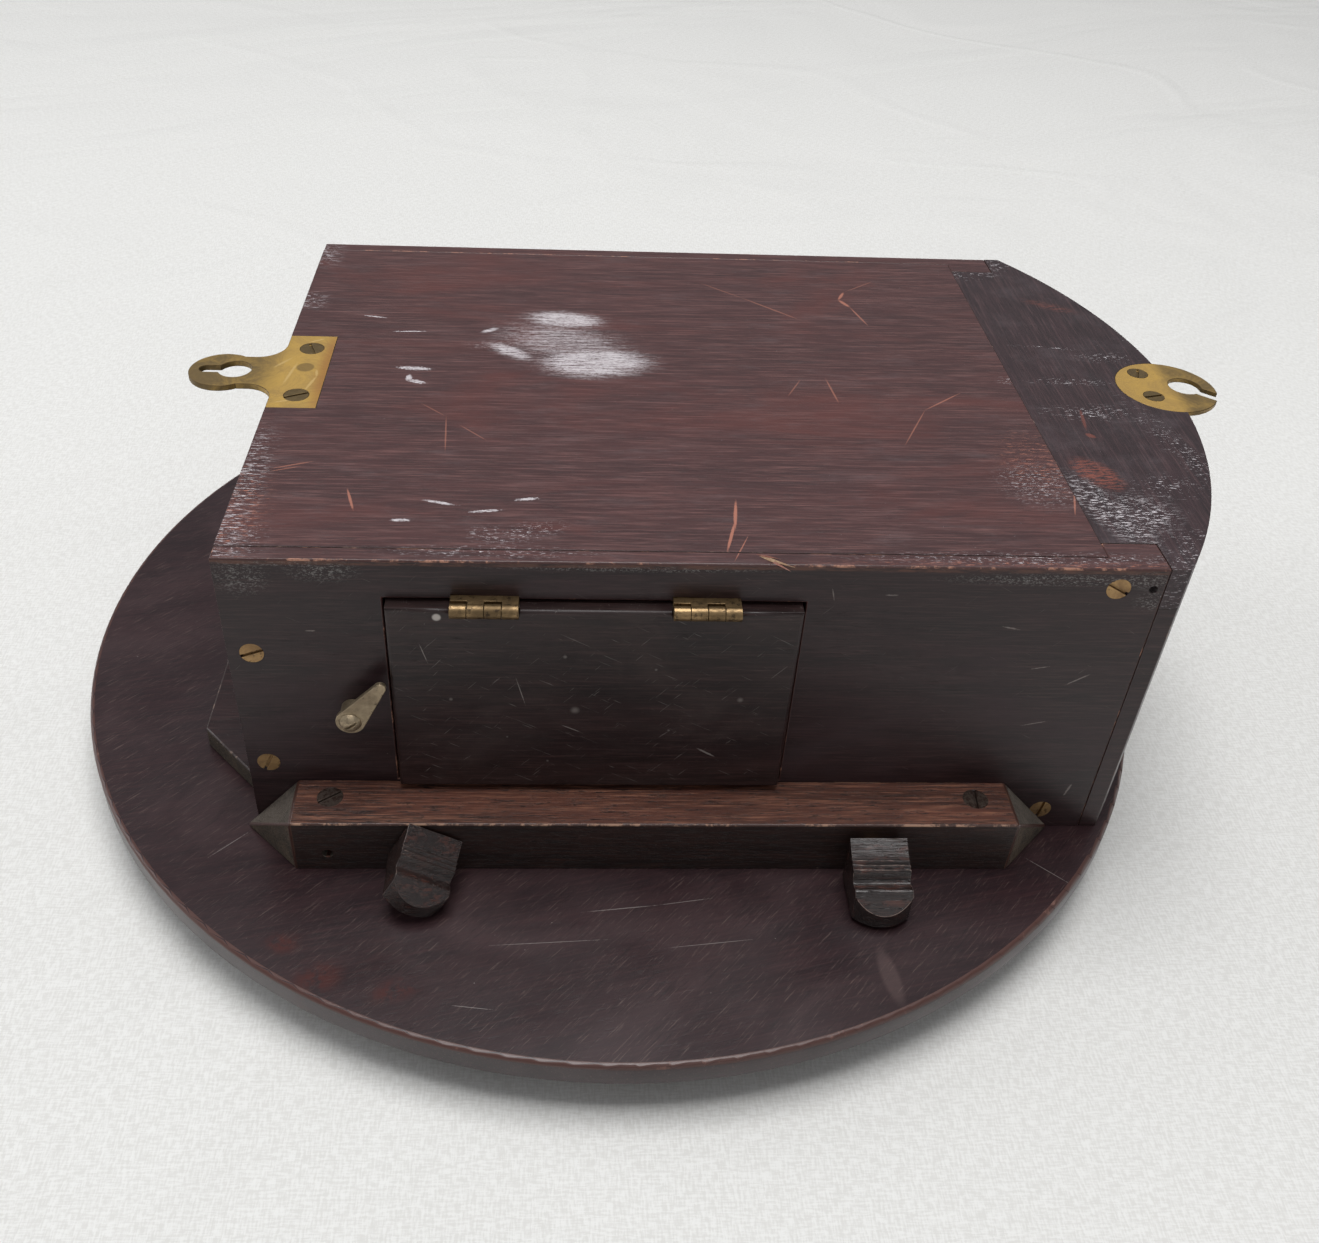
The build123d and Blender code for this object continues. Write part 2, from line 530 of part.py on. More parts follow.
spokes = spokes - block(-2.2, 2.2, -30, 30, 44, 49)
minute = minute - spokes
pieces["minute_hand_and_centre_wheel"] = minute

# ---------------------------------------------------------------- movement
front_plate = block(PLATE_X0, PLATE_X1, -PLATE_Y, PLATE_Y, PLATE_Z0, PLATE_Z1)
back_plate = block(PLATE_X0, PLATE_X1, -PLATE_Y, PLATE_Y, BACK_PLATE_Z, BACK_PLATE_TOP)
front_plate = front_plate - rod_z(0, 0, 0, 10, ARBOR_R + 0.05)
front_plate = front_plate - rod_z(FUSEE_X, FUSEE_Y, 0, 10, 3.05)
front_plate = front_plate - rod_z(BARREL_X, BARREL_Y, 0, 10, 3.0)
back_plate = back_plate - rod_z(0, 0, 40, 60, 1.55)
back_plate = back_plate - rod_z(FUSEE_X, FUSEE_Y, 40, 60, 1.55)
back_plate = back_plate - rod_z(BARREL_X, BARREL_Y, 40, 60, 3.0)
pieces["movement_front_plate"] = front_plate
pieces["movement_back_plate"] = back_plate
for i, (x, y) in enumerate(FOOT_SPOTS):
    waist = PLATE_Z1 + PILLAR_L / 2
    pillar = turned([(0, PLATE_Z1), (4.5, PLATE_Z1), (4.5, PLATE_Z1 + 4), (3.2, PLATE_Z1 + 6), (4.2, waist - 2),
                     (4.8, waist), (4.2, waist + 2), (3.2, BACK_PLATE_Z - 6), (4.5, BACK_PLATE_Z - 4),
                     (4.5, BACK_PLATE_Z), (0, BACK_PLATE_Z)])
    pieces["pillar_%d" % (i + 1)] = Pos(x, y, 0) * pillar
pieces["barrel_arbor"] = rod_z(BARREL_X, BARREL_Y, PLATE_Z0, BACK_PLATE_TOP, 3.0)
drum = rod_z(BARREL_X, BARREL_Y, 12.0, 42.0, SPRING_BARREL_R) - rod_z(BARREL_X, BARREL_Y, 0, 60, 3.05)
pieces["spring_barrel"] = drum
groove = []
for i in range(8):
    z0 = 12.5 + 3.4 * i
    r0 = 22.0 - 1.35 * i
    groove = groove + [(r0, z0), (r0, z0 + 1.6), (r0 - 1.2, z0 + 2.5)]
fusee = turned([(0, 8.0), (GREAT_R, 8.0), (GREAT_R, 10.5), (23.0, 10.5), (23.0, 12.5)] + groove + [(0, 39.7)])
fusee = fusee + rod_z(0, 0, PLATE_Z0 - 1.0, 8.0, 3.0)
fusee = fusee + rod_z(0, 0, 39.0, BACK_PLATE_Z - 0.3, 3.0)
fusee = fusee + rod_z(0, 0, BACK_PLATE_Z - 0.3, BACK_PLATE_TOP, 1.5)
fusee = fusee + Pos(0, 0, -2.5) * Box(4.2, 4.2, 11.0)
pieces["fusee_and_great_wheel"] = Pos(FUSEE_X, FUSEE_Y, 0) * fusee
cock = block(-52.0, -36.0, -9.0, 9.0, BACK_PLATE_TOP, 62.0) + rod_z(PENDULUM_X, 0, 61.0, 70.0, 1.5)
pieces["pendulum_cock"] = cock
pendulum = rod_z(PENDULUM_X, 0, 64.0, 68.0, 5.0)
pendulum = pendulum + block(PENDULUM_X, PENDULUM_X + PENDULUM_L - BOB_R + 2, -1.5, 1.5, 64.5, 67.5)
bob = Pos(PENDULUM_X + PENDULUM_L, 0, 66.0) * Cylinder(BOB_R, 14.0)
bob = fillet(bob.edges(), 4.0)
pendulum = pendulum + bob
pendulum = pendulum - rod_z(PENDULUM_X, 0, 60.0, 72.0, 1.55)
pieces["pendulum"] = pendulum

# ---------------------------------------------------------------- place and write
stay_tip = STAY_X + STAY_R
DIAL_X = -(max(stay_tip, SURROUND_R) - SURROUND_R) / 2
for name, solid in pieces.items():
    placed = Pos(DIAL_X, 0, FRONT_DEPTH) * solid
    export_step(placed, os.path.join("parts", name + ".step"))
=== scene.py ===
import json
import math

import bmesh
import bpy
from mathutils import Matrix, Vector


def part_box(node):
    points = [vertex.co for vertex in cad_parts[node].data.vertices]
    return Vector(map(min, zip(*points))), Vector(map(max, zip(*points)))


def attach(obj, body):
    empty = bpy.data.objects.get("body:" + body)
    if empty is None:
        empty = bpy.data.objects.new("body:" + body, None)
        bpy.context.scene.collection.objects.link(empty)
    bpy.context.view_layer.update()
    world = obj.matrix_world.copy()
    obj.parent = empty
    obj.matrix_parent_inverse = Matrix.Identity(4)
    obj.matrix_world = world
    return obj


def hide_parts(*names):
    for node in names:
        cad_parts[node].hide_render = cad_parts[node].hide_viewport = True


# An old mahogany wall dial clock lying on its face, its box and brass plates towards the camera.
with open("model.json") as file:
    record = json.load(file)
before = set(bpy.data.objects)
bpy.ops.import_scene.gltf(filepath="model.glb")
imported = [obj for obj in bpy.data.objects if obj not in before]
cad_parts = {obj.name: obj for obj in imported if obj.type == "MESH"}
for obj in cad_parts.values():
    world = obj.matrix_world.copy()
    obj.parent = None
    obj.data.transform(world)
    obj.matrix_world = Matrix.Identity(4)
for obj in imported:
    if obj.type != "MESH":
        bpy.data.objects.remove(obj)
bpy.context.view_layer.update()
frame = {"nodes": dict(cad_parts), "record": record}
MM = 0.001

# The dial's axis and the back face of the surround, which the marks below are placed from.
surround_lo, surround_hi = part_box("dial_surround")
AXIS_X = (surround_lo[0] + surround_hi[0]) / 2
BACK_Z = surround_hi[2]

# Places of the marked faces, in millimetres from the dial's axis and the surround's back face.
BACK_FACE = (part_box("back_board")[1][2] - BACK_Z) / MM
SIDE_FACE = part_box("side_board_near")[0][1] / MM
DOOR_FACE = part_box("side_door")[0][1] / MM


def at(x, y, z=0.0):
    """A point in millimetres from the dial's axis and the surround's back face."""
    return Vector((AXIS_X + x * MM, y * MM, BACK_Z + z * MM))


# ------------------------------------------------------------------ camera, floor and light
CAMERA_PLACE = at(-20.27, -386.15, 315.61)
CAMERA_RIGHT = Vector((0.99867, -0.0327, 0.03984))
CAMERA_UP = Vector((-0.01169, 0.60913, 0.79299))
CAMERA_LOOK = Vector((0.0502, 0.7924, -0.60794))

camera_data = bpy.data.cameras.new("camera")
camera_data.sensor_width = 36.0
camera_data.lens = 35.30
camera_data.shift_x = 0.0247
camera_data.shift_y = -0.0320
camera_data.clip_start = 0.01
camera = bpy.data.objects.new("camera", camera_data)
turn = Matrix((CAMERA_RIGHT, CAMERA_UP, -CAMERA_LOOK)).transposed()
camera.matrix_world = Matrix.Translation(CAMERA_PLACE) @ turn.to_4x4()
bpy.context.collection.objects.link(camera)
bpy.context.scene.camera = camera

scene = bpy.context.scene
scene.view_settings.view_transform = "Standard"
scene.view_settings.look = "None"


def soft_light(name, place, size, power, colour=(1.0, 1.0, 1.0)):
    """A large square lamp aimed at the clock."""
    lamp = bpy.data.lights.new(name, "AREA")
    lamp.shape = "SQUARE"
    lamp.size = size
    lamp.energy = power
    lamp.color = colour
    holder = bpy.data.objects.new(name, lamp)
    holder.location = place
    aim = Vector((0.0, 0.0, 0.05)) - Vector(place)
    holder.rotation_euler = aim.to_track_quat("-Z", "Y").to_euler()
    bpy.context.collection.objects.link(holder)


soft_light("ceiling", (0.0, 0.05, 2.5), 1.5, 50.0)
soft_light("left_window", (-2.4, 0.7, 1.3), 1.5, 16.0, (0.96, 0.98, 1.0))
soft_light("front_fill", (0.6, -2.2, 1.6), 1.4, 4.0)

# What the camera sees past the cloth: as grey as the far cloth at the horizon, paler above it.
HORIZON_GREY = 0.235
ROOM_GREY = 0.62
PALEST_AT = 0.22

world = bpy.data.worlds.new("studio")
world.use_nodes = True
scene.world = world
world_nodes = world.node_tree.nodes
world_links = world.node_tree.links
dim = world_nodes["Background"]
dim.inputs["Color"].default_value = (0.95, 0.97, 1.0, 1.0)
dim.inputs["Strength"].default_value = 0.30
pale = world_nodes.new("ShaderNodeBackground")
rise = world_nodes.new("ShaderNodeSeparateXYZ")
world_links.new(world_nodes.new("ShaderNodeTexCoord").outputs["Generated"], rise.inputs[0])
fade = world_nodes.new("ShaderNodeMapRange")
fade.interpolation_type = "SMOOTHSTEP"
world_links.new(rise.outputs["Z"], fade.inputs[0])
fade.inputs[1].default_value = 0.0
fade.inputs[2].default_value = PALEST_AT
fade.inputs[3].default_value = HORIZON_GREY
fade.inputs[4].default_value = ROOM_GREY
world_links.new(fade.outputs[0], pale.inputs["Color"])
seen = world_nodes.new("ShaderNodeLightPath")
either = world_nodes.new("ShaderNodeMixShader")
world_links.new(seen.outputs["Is Camera Ray"], either.inputs[0])
world_links.new(dim.outputs[0], either.inputs[1])
world_links.new(pale.outputs[0], either.inputs[2])
world_links.new(either.outputs[0], world_nodes["World Output"].inputs["Surface"])


# ------------------------------------------------------------------ material building
class Paint:
    """Short calls for building one material's nodes. Textures are placed in the part's own frame."""

    def __init__(self, name):
        self.material = bpy.data.materials.new(name)
        self.material.use_nodes = True
        self.tree = self.material.node_tree
        self.shader = self.tree.nodes["Principled BSDF"]
        self.coords = self.add("ShaderNodeTexCoord").outputs["Object"]

    def add(self, kind, **settings):
        node = self.tree.nodes.new(kind)
        for key, value in settings.items():
            setattr(node, key, value)
        return node

    def put(self, socket, value):
        """Links a socket or sets a plain value."""
        if isinstance(value, bpy.types.NodeSocket):
            self.tree.links.new(value, socket)
        elif hasattr(socket.default_value, "__len__") and not hasattr(value, "__len__"):
            socket.default_value = [value] * len(socket.default_value)
        elif hasattr(value, "__len__") and len(value) == 3 and len(socket.default_value) == 4:
            socket.default_value = (*value, 1.0)
        else:
            socket.default_value = value

    def maths(self, operation, a, b=0.0, c=None, clamp=False):
        node = self.add("ShaderNodeMath", operation=operation, use_clamp=clamp)
        self.put(node.inputs[0], a)
        self.put(node.inputs[1], b)
        if c is not None:
            self.put(node.inputs[2], c)
        return node.outputs[0]

    def vector(self, operation, a, b=None, scale=None):
        node = self.add("ShaderNodeVectorMath", operation=operation)
        self.put(node.inputs[0], a)
        if b is not None:
            self.put(node.inputs[1], b)
        if scale is not None:
            self.put(node.inputs["Scale"], scale)
        scalar = operation in ("DOT_PRODUCT", "LENGTH", "DISTANCE")
        return node.outputs["Value" if scalar else "Vector"]

    def stretched(self, scale, offset=(0.0, 0.0, 0.0), turn_z=0.0, turn_y=0.0):
        """Coordinates turned about Z or Y, then stretched and shifted."""
        node = self.add("ShaderNodeMapping", vector_type="TEXTURE")
        self.put(node.inputs["Vector"], self.coords)
        node.inputs["Rotation"].default_value = (0.0, turn_y, turn_z)
        node.inputs["Scale"].default_value = [1.0 / cells for cells in scale]
        return self.vector("ADD", node.outputs[0], offset)

    def noise(self, scale, detail=4.0, rough=0.6, offset=(0.0, 0.0, 0.0), turn_z=0.0, warp=0.0, turn_y=0.0):
        """Fractal noise; scale is cells per metre along X, Y and Z."""
        place = self.stretched(scale, offset, turn_z, turn_y)
        node = self.add("ShaderNodeTexNoise")
        self.put(node.inputs["Vector"], place)
        node.inputs["Scale"].default_value = 1.0
        node.inputs["Detail"].default_value = detail
        node.inputs["Roughness"].default_value = rough
        node.inputs["Distortion"].default_value = warp
        return node.outputs[0]

    def steps(self, value, low, high, to_low=0.0, to_high=1.0):
        """Smooth change from to_low to to_high as value goes from low to high."""
        node = self.add("ShaderNodeMapRange", interpolation_type="SMOOTHSTEP", clamp=True)
        self.put(node.inputs[0], value)
        node.inputs[1].default_value = low
        node.inputs[2].default_value = high
        node.inputs[3].default_value = to_low
        node.inputs[4].default_value = to_high
        return node.outputs[0]

    def mix(self, share, a, b):
        node = self.add("ShaderNodeMix", data_type="RGBA")
        self.put(node.inputs[0], share)
        self.put(node.inputs[6], a)
        self.put(node.inputs[7], b)
        return node.outputs[2]

    def part(self, axis):
        """One coordinate in millimetres from the dial's axis or the surround's back face."""
        split = self.add("ShaderNodeSeparateXYZ")
        self.put(split.inputs[0], self.coords)
        start = {"X": AXIS_X, "Y": 0.0, "Z": BACK_Z}[axis]
        return self.maths("MULTIPLY_ADD", split.outputs[axis], 1000.0, -1000.0 * start)

    def patch(self, centre, radii, angle=0.0, soft=0.35):
        """Soft ellipse, 1 inside. centre, radii in mm; angle about Z in degrees."""
        middle = at(*centre)
        node = self.add("ShaderNodeMapping", vector_type="TEXTURE")
        self.put(node.inputs["Vector"], self.coords)
        node.inputs["Location"].default_value = middle
        node.inputs["Rotation"].default_value = (0.0, 0.0, math.radians(angle))
        node.inputs["Scale"].default_value = [r * MM for r in radii]
        return self.steps(self.vector("LENGTH", node.outputs[0]), 1.0 - soft, 1.0 + soft, 1.0, 0.0)

    def flat_patches(self, spots, height=None, deep=60):
        """The strongest of several patches on the back, or on a level face at another height.
        Each spot is x, y, half length, half width, turn and softness."""
        z = BACK_FACE if height is None else height
        return self.most(*[self.patch((x, y, z), (along, across, deep), turn, soft)
                           for x, y, along, across, turn, soft in spots])

    def side_patches(self, spots):
        """The same on the near side. Each spot is x, z, half length, half height, turn and softness."""
        return self.most(*[self.patch((x, SIDE_FACE, z), (along, 30, tall), turn, soft)
                           for x, z, along, tall, turn, soft in spots])

    def scratch(self, start, end, width, shake=0.6):
        """Thin mark from start to end (mm), tapered at both ends and broken up along its length."""
        a = at(*start)
        along = at(*end) - a
        half = along.length / 2
        node = self.add("ShaderNodeMapping", vector_type="TEXTURE")
        self.put(node.inputs["Vector"], self.coords)
        node.inputs["Location"].default_value = a + along / 2
        node.inputs["Rotation"].default_value = along.to_track_quat("X", "Z").to_euler()
        node.inputs["Scale"].default_value = (half * 1.12, width * MM, width * MM)
        reach = self.vector("LENGTH", node.outputs[0])
        ragged = self.maths("MULTIPLY_ADD", self.shaker(), shake, reach)
        return self.steps(ragged, 0.55 + shake / 2, 1.05 + shake / 2, 1.0, 0.0)

    def shaker(self):
        """Shared jitter that roughens the edges of marks."""
        if not hasattr(self, "shake_socket"):
            self.shake_socket = self.noise((1400.0, 1400.0, 1400.0), 2.0, 0.7)
        return self.shake_socket

    def most(self, *values):
        out = values[0]
        for value in values[1:]:
            out = self.maths("MAXIMUM", out, value)
        return out

    def finish(self, colour, rough, bump=None, strength=0.2, metal=0.0, depth=0.0004, coat=0.0, specular=0.5):
        self.put(self.shader.inputs["Base Color"], colour)
        self.put(self.shader.inputs["Roughness"], rough)
        self.shader.inputs["Metallic"].default_value = metal
        self.shader.inputs["Coat Weight"].default_value = coat
        self.shader.inputs["Coat Roughness"].default_value = 0.22
        self.shader.inputs["Specular IOR Level"].default_value = specular
        if bump is not None:
            node = self.add("ShaderNodeBump")
            node.inputs["Strength"].default_value = strength
            node.inputs["Distance"].default_value = depth
            self.put(node.inputs["Height"], bump)
            self.put(self.shader.inputs["Normal"], node.outputs[0])
        return self.material


def grain_scales(along, fine, length):
    """Noise scale for fibres that run along one axis."""
    scale = [fine, fine, fine]
    scale["XYZ".index(along)] = length
    return tuple(scale)


def wood_base(p, along, deep, middle, light, seed=0.0, turn_z=0.0):
    """Fibres, slow bands and short dark pores of close-grained mahogany. Returns colour and height."""
    shift = (seed, seed * 1.7, seed * 0.6)
    fibre = p.noise(grain_scales(along, 1500.0, 60.0), 5.0, 0.72, shift, turn_z, 0.2)
    band = p.noise(grain_scales(along, 90.0, 9.0), 5.0, 0.68, shift, turn_z, 1.0)
    pore = p.noise(grain_scales(along, 2600.0, 160.0), 2.0, 0.6, shift, turn_z)
    colour = p.mix(p.steps(band, 0.30, 0.70), deep, middle)
    colour = p.mix(p.steps(fibre, 0.44, 0.76), colour, light)
    pores = p.steps(pore, 0.58, 0.70)
    colour = p.mix(p.maths("MULTIPLY", pores, 0.55), colour, [c * 0.35 for c in deep])
    height = p.maths("SUBTRACT", p.maths("MULTIPLY", fibre, 0.6), p.maths("MULTIPLY", pores, 0.7))
    return colour, height


CHALK = (0.62, 0.58, 0.60)
ORANGE = (0.46, 0.185, 0.125)
DUST = (0.34, 0.33, 0.31)


def specks(p, seed, low, fine=900.0):
    """Scattered pale dots, a few tenths of a millimetre across."""
    dots = p.noise((fine, fine, fine), 3.0, 0.8, (seed, seed, seed))
    return p.steps(dots, low, low + 0.03)


def dragged(p, seed, low, along=(260.0, 1700.0, 1700.0)):
    """Pale flecks drawn out along the grain."""
    return p.steps(p.noise(along, 4.0, 0.75, (seed, seed * 2.0, seed)), low, low + 0.05)


def hairs(p, seed, low):
    """Fine handling scratches that cross an upright face both ways."""
    rising = p.noise((2600.0, 900.0, 100.0), 2.0, 0.6, (seed, 0.0, seed), 0.0, 0.3, 0.75)
    falling = p.noise((90.0, 900.0, 2400.0), 2.0, 0.6, (0.0, seed, seed), 0.0, 0.3, 0.5)
    return p.most(p.steps(rising, low, low + 0.06), p.steps(falling, low, low + 0.06))


# ------------------------------------------------------------------ wood materials
def back_board_wood():
    """Purple-brown back board with chalk smears, orange scratches and flaked edges."""
    p = Paint("back_board_wood")
    deep = (0.048, 0.0225, 0.0235)
    middle = (0.072, 0.0300, 0.0300)
    light = (0.165, 0.080, 0.074)
    colour, height = wood_base(p, "X", deep, middle, light, 3.1)
    streak = p.noise((22.0, 620.0, 620.0), 4.0, 0.7, (9.0, 4.0, 0.0), 0.0, 0.3)
    colour = p.mix(p.steps(streak, 0.54, 0.74, 0.0, 0.35), colour, (0.034, 0.0165, 0.0175))
    warm = p.noise((10.0, 34.0, 10.0), 4.0, 0.65, (4.0, 1.0, 0.0), 0.0, 0.8)
    colour = p.mix(p.steps(warm, 0.50, 0.72, 0.0, 0.45), colour, (0.125, 0.036, 0.030))
    haze = p.noise((45.0, 160.0, 45.0), 6.0, 0.75, (1.0, 7.0, 0.0))
    colour = p.mix(p.steps(haze, 0.50, 0.80, 0.0, 0.30), colour, (0.17, 0.125, 0.13))

    between = p.flat_patches([(-21, 25, 22, 13, -20, 0.6)])
    smear = p.most(p.flat_patches([(-9.5, 10, 19, 10.5, 4, 0.45), (-20.5, 42, 14, 6.5, -6, 0.5)]),
                   p.maths("MULTIPLY", between, 0.72),
                   p.flat_patches([(-39, 17, 9, 3.6, -38, 0.7), (-46.7, 32.5, 3.4, 1.3, 30, 0.5)]))
    brushed = p.noise((70.0, 1500.0, 70.0), 6.0, 0.78, (2.0, 3.0, 0.0), 0.0, 0.2)
    grainy = p.noise((650.0, 2600.0, 650.0), 3.0, 0.8, (5.0, 1.0, 0.0))
    chalked = p.maths("ADD", p.maths("MULTIPLY", brushed, 0.60), p.maths("MULTIPLY", grainy, 0.40))
    chalked = p.maths("MULTIPLY_ADD", smear, 0.11, chalked)
    white = p.maths("MULTIPLY", smear, p.steps(chalked, 0.510, 0.650))
    # Each stroke is x, y at both ends and half its width.
    strokes = [(-76, 3.8, -65, 3.0, 1.35), (-71.8, -1.2, -71.6, -5.0, 1.3), (-71.8, -4.8, -66.0, -6.6, 1.2),
               (-60, -75.3, -51, -77.6, 0.75), (-46.6, -81.0, -38, -79.8, 0.7),
               (-68.7, -85.5, -63, -85.4, 0.8), (-34, -74.6, -27, -73.4, 0.75),
               (-92, 42.0, -84, 40.4, 0.45), (-80, 30.0, -69, 30.6, 0.4)]
    ragged = p.steps(grainy, 0.34, 0.52)
    for x0, y0, x1, y1, width in strokes:
        stroke = p.scratch((x0, y0, BACK_FACE), (x1, y1, BACK_FACE), width, 1.4)
        white = p.most(white, p.maths("MULTIPLY", stroke, ragged))
    flecks = dragged(p, 5.3, 0.555)
    fine_flecks = dragged(p, 9.1, 0.575, (520.0, 2300.0, 2300.0))
    scattered = p.flat_patches([(-31, -91, 9, 3.4, 20, 0.8), (-41, -91.5, 4.5, 3.4, 0, 0.8),
                                (124, -62, 9, 9, 40, 0.9), (134, 3, 5, 2.5, 0, 0.6),
                                (-44, 21, 8, 2.5, 0, 0.8), (112, -100, 40, 2.6, 0, 0.7),
                                (-40, -100, 22, 2.2, 0, 0.9)])
    flaked = p.flat_patches([(-112, -76, 14, 34, 0, 0.4), (-112, 53, 10, 6, 0, 0.6),
                             (-112, 94, 12, 9, 0, 0.6)])
    end_band = p.maths("MULTIPLY", p.steps(p.part("X"), -113.0, -104.0, 0.95, 0.0), flaked)
    near_corner = p.flat_patches([(-111, -96, 7, 9, 0, 0.8)])
    white = p.most(white, p.maths("MULTIPLY", scattered, fine_flecks), p.maths("MULTIPLY", end_band, flecks),
                   p.maths("MULTIPLY", near_corner, fine_flecks),
                   p.maths("MULTIPLY", specks(p, 2.2, 0.735), 0.7))

    bare = p.flat_patches([(-111, -84, 6, 22, 0, 0.8), (127, -50, 9, 15, 0, 0.9),
                           (114, -103, 50, 1.6, 0, 0.6)])
    torn = p.steps(p.noise((260.0, 1500.0, 260.0), 4.0, 0.75, (8.0, 0.0, 0.0)), 0.53, 0.66)
    rubbed = p.maths("MULTIPLY", bare, torn)
    # Each orange scratch is x, y at both ends, half its width and its strength.
    marks = [(30.3, -73.0, 28.6, -88.0, 0.6, 0.9), (29.0, -84.0, 25.4, -98.5, 0.55, 0.9),
             (86.0, 70.2, 83.0, 63.6, 0.7, 0.8), (83.0, 63.6, 86.3, 57.5, 0.9, 0.8),
             (86.3, 57.5, 90.5, 42.5, 0.45, 0.6), (86.8, 71.0, 99.0, 80.6, 0.3, 0.4),
             (-106.5, -59.8, -95.0, -55.6, 0.35, 0.6), (-107.0, -61.5, -98.0, -58.3, 0.3, 0.5),
             (-82.8, -70.0, -79.7, -80.8, 0.5, 0.8), (-57.5, -28.0, -56.2, -49.0, 0.3, 0.45),
             (31.4, 75.8, 46.3, 63.4, 0.3, 0.4), (46.3, 63.4, 66.0, 45.9, 0.4, 0.5),
             (-52.8, -33.1, -44.0, -42.0, 0.3, 0.4), (87.2, -40.5, 98.4, -18.3, 0.28, 0.5),
             (98.4, -18.3, 113.0, -6.4, 0.35, 0.6), (68.5, 1.5, 70.3, -14.7, 0.4, 0.5),
             (59.6, 0.5, 54.0, -10.7, 0.3, 0.4), (32.0, -91.0, 27.0, -103.0, 0.22, 0.7),
             (133.5, -66.0, 130.0, -78.0, 0.35, 0.7), (-66.0, -20.0, -58.0, -27.5, 0.25, 0.4)]
    orange = rubbed
    for x0, y0, x1, y1, width, strength in marks:
        line = p.scratch((x0, y0, BACK_FACE), (x1, y1, BACK_FACE), width, 0.4)
        orange = p.most(orange, p.maths("MULTIPLY", line, strength))
    colour = p.mix(p.maths("MULTIPLY", orange, 0.85), colour, ORANGE)
    colour = p.mix(p.maths("MULTIPLY", white, 0.88), colour, CHALK)
    rough = p.steps(p.maths("ADD", haze, white), 0.40, 1.20, 0.45, 0.85)
    height = p.maths("MULTIPLY_ADD", p.maths("MULTIPLY", end_band, flecks), 0.5, height)
    return p.finish(colour, rough, height, 0.35, depth=0.0002, specular=0.35)


def dark_end_wood():
    """Darker wood of the curved end, thick with flaked chalk at its near corner."""
    p = Paint("dark_end_wood")
    colour, height = wood_base(p, "Y", (0.022, 0.0135, 0.0155), (0.038, 0.020, 0.023), (0.078, 0.043, 0.045),
                               6.2)
    haze = p.noise((60.0, 60.0, 60.0), 6.0, 0.75, (3.0, 2.0, 0.0))
    colour = p.mix(p.steps(haze, 0.45, 0.75, 0.0, 0.35), colour, (0.10, 0.078, 0.086))
    corner = p.flat_patches([(141, -76, 6, 18, 18, 0.5), (150, -77, 9, 8, 20, 0.7)])
    rim = p.flat_patches([(179, -52, 4, 34, 14, 0.8), (158, -96, 12, 8, 30, 0.9), (172, 21, 8, 3, 0, 0.9),
                          (154, 3, 12, 2, 0, 0.8), (155, -18, 14, 4, 0, 0.8), (140, 90, 9, 5, 0, 0.8),
                          (164, -62, 9, 5, 0, 0.9), (153, 28, 11, 0.9, -6, 0.6), (152, 100, 7, 5, 30, 0.9)])
    dense = dragged(p, 4.4, 0.535, (420.0, 1900.0, 1900.0))
    thin = dragged(p, 7.7, 0.590, (420.0, 1700.0, 1700.0))
    white = p.most(p.maths("MULTIPLY", corner, dense), p.maths("MULTIPLY", rim, thin),
                   p.maths("MULTIPLY", specks(p, 5.2, 0.725), 0.7))
    worn = p.steps(p.noise((300.0, 1500.0, 300.0), 4.0, 0.75), 0.44, 0.58)
    rubbed = p.maths("MULTIPLY", p.flat_patches([(144, -55.5, 5.5, 9.0, 28, 0.35)]), worn)
    upper = p.scratch((151.0, -16.4, BACK_FACE), (149.0, -29.0, BACK_FACE), 0.7)
    lower = p.scratch((148.0, -31.5, BACK_FACE), (150.5, -34.0, BACK_FACE), 1.3)
    far_streak = p.maths("MULTIPLY", p.flat_patches([(164, 62, 8, 2.4, -30, 0.8)]), worn)
    rubbed = p.most(rubbed, p.maths("MULTIPLY", upper, 0.5), p.maths("MULTIPLY", lower, 0.6),
                    p.maths("MULTIPLY", far_streak, 0.5))
    colour = p.mix(p.maths("MULTIPLY", rubbed, 0.8), colour, (0.26, 0.075, 0.050))
    colour = p.mix(p.maths("MULTIPLY", white, 0.90), colour, CHALK)
    rough = p.steps(p.maths("ADD", haze, white), 0.40, 1.20, 0.42, 0.85)
    height = p.maths("MULTIPLY_ADD", p.maths("MULTIPLY", corner, dense), 0.5, height)
    return p.finish(colour, rough, height, 0.35, depth=0.0002, specular=0.4)


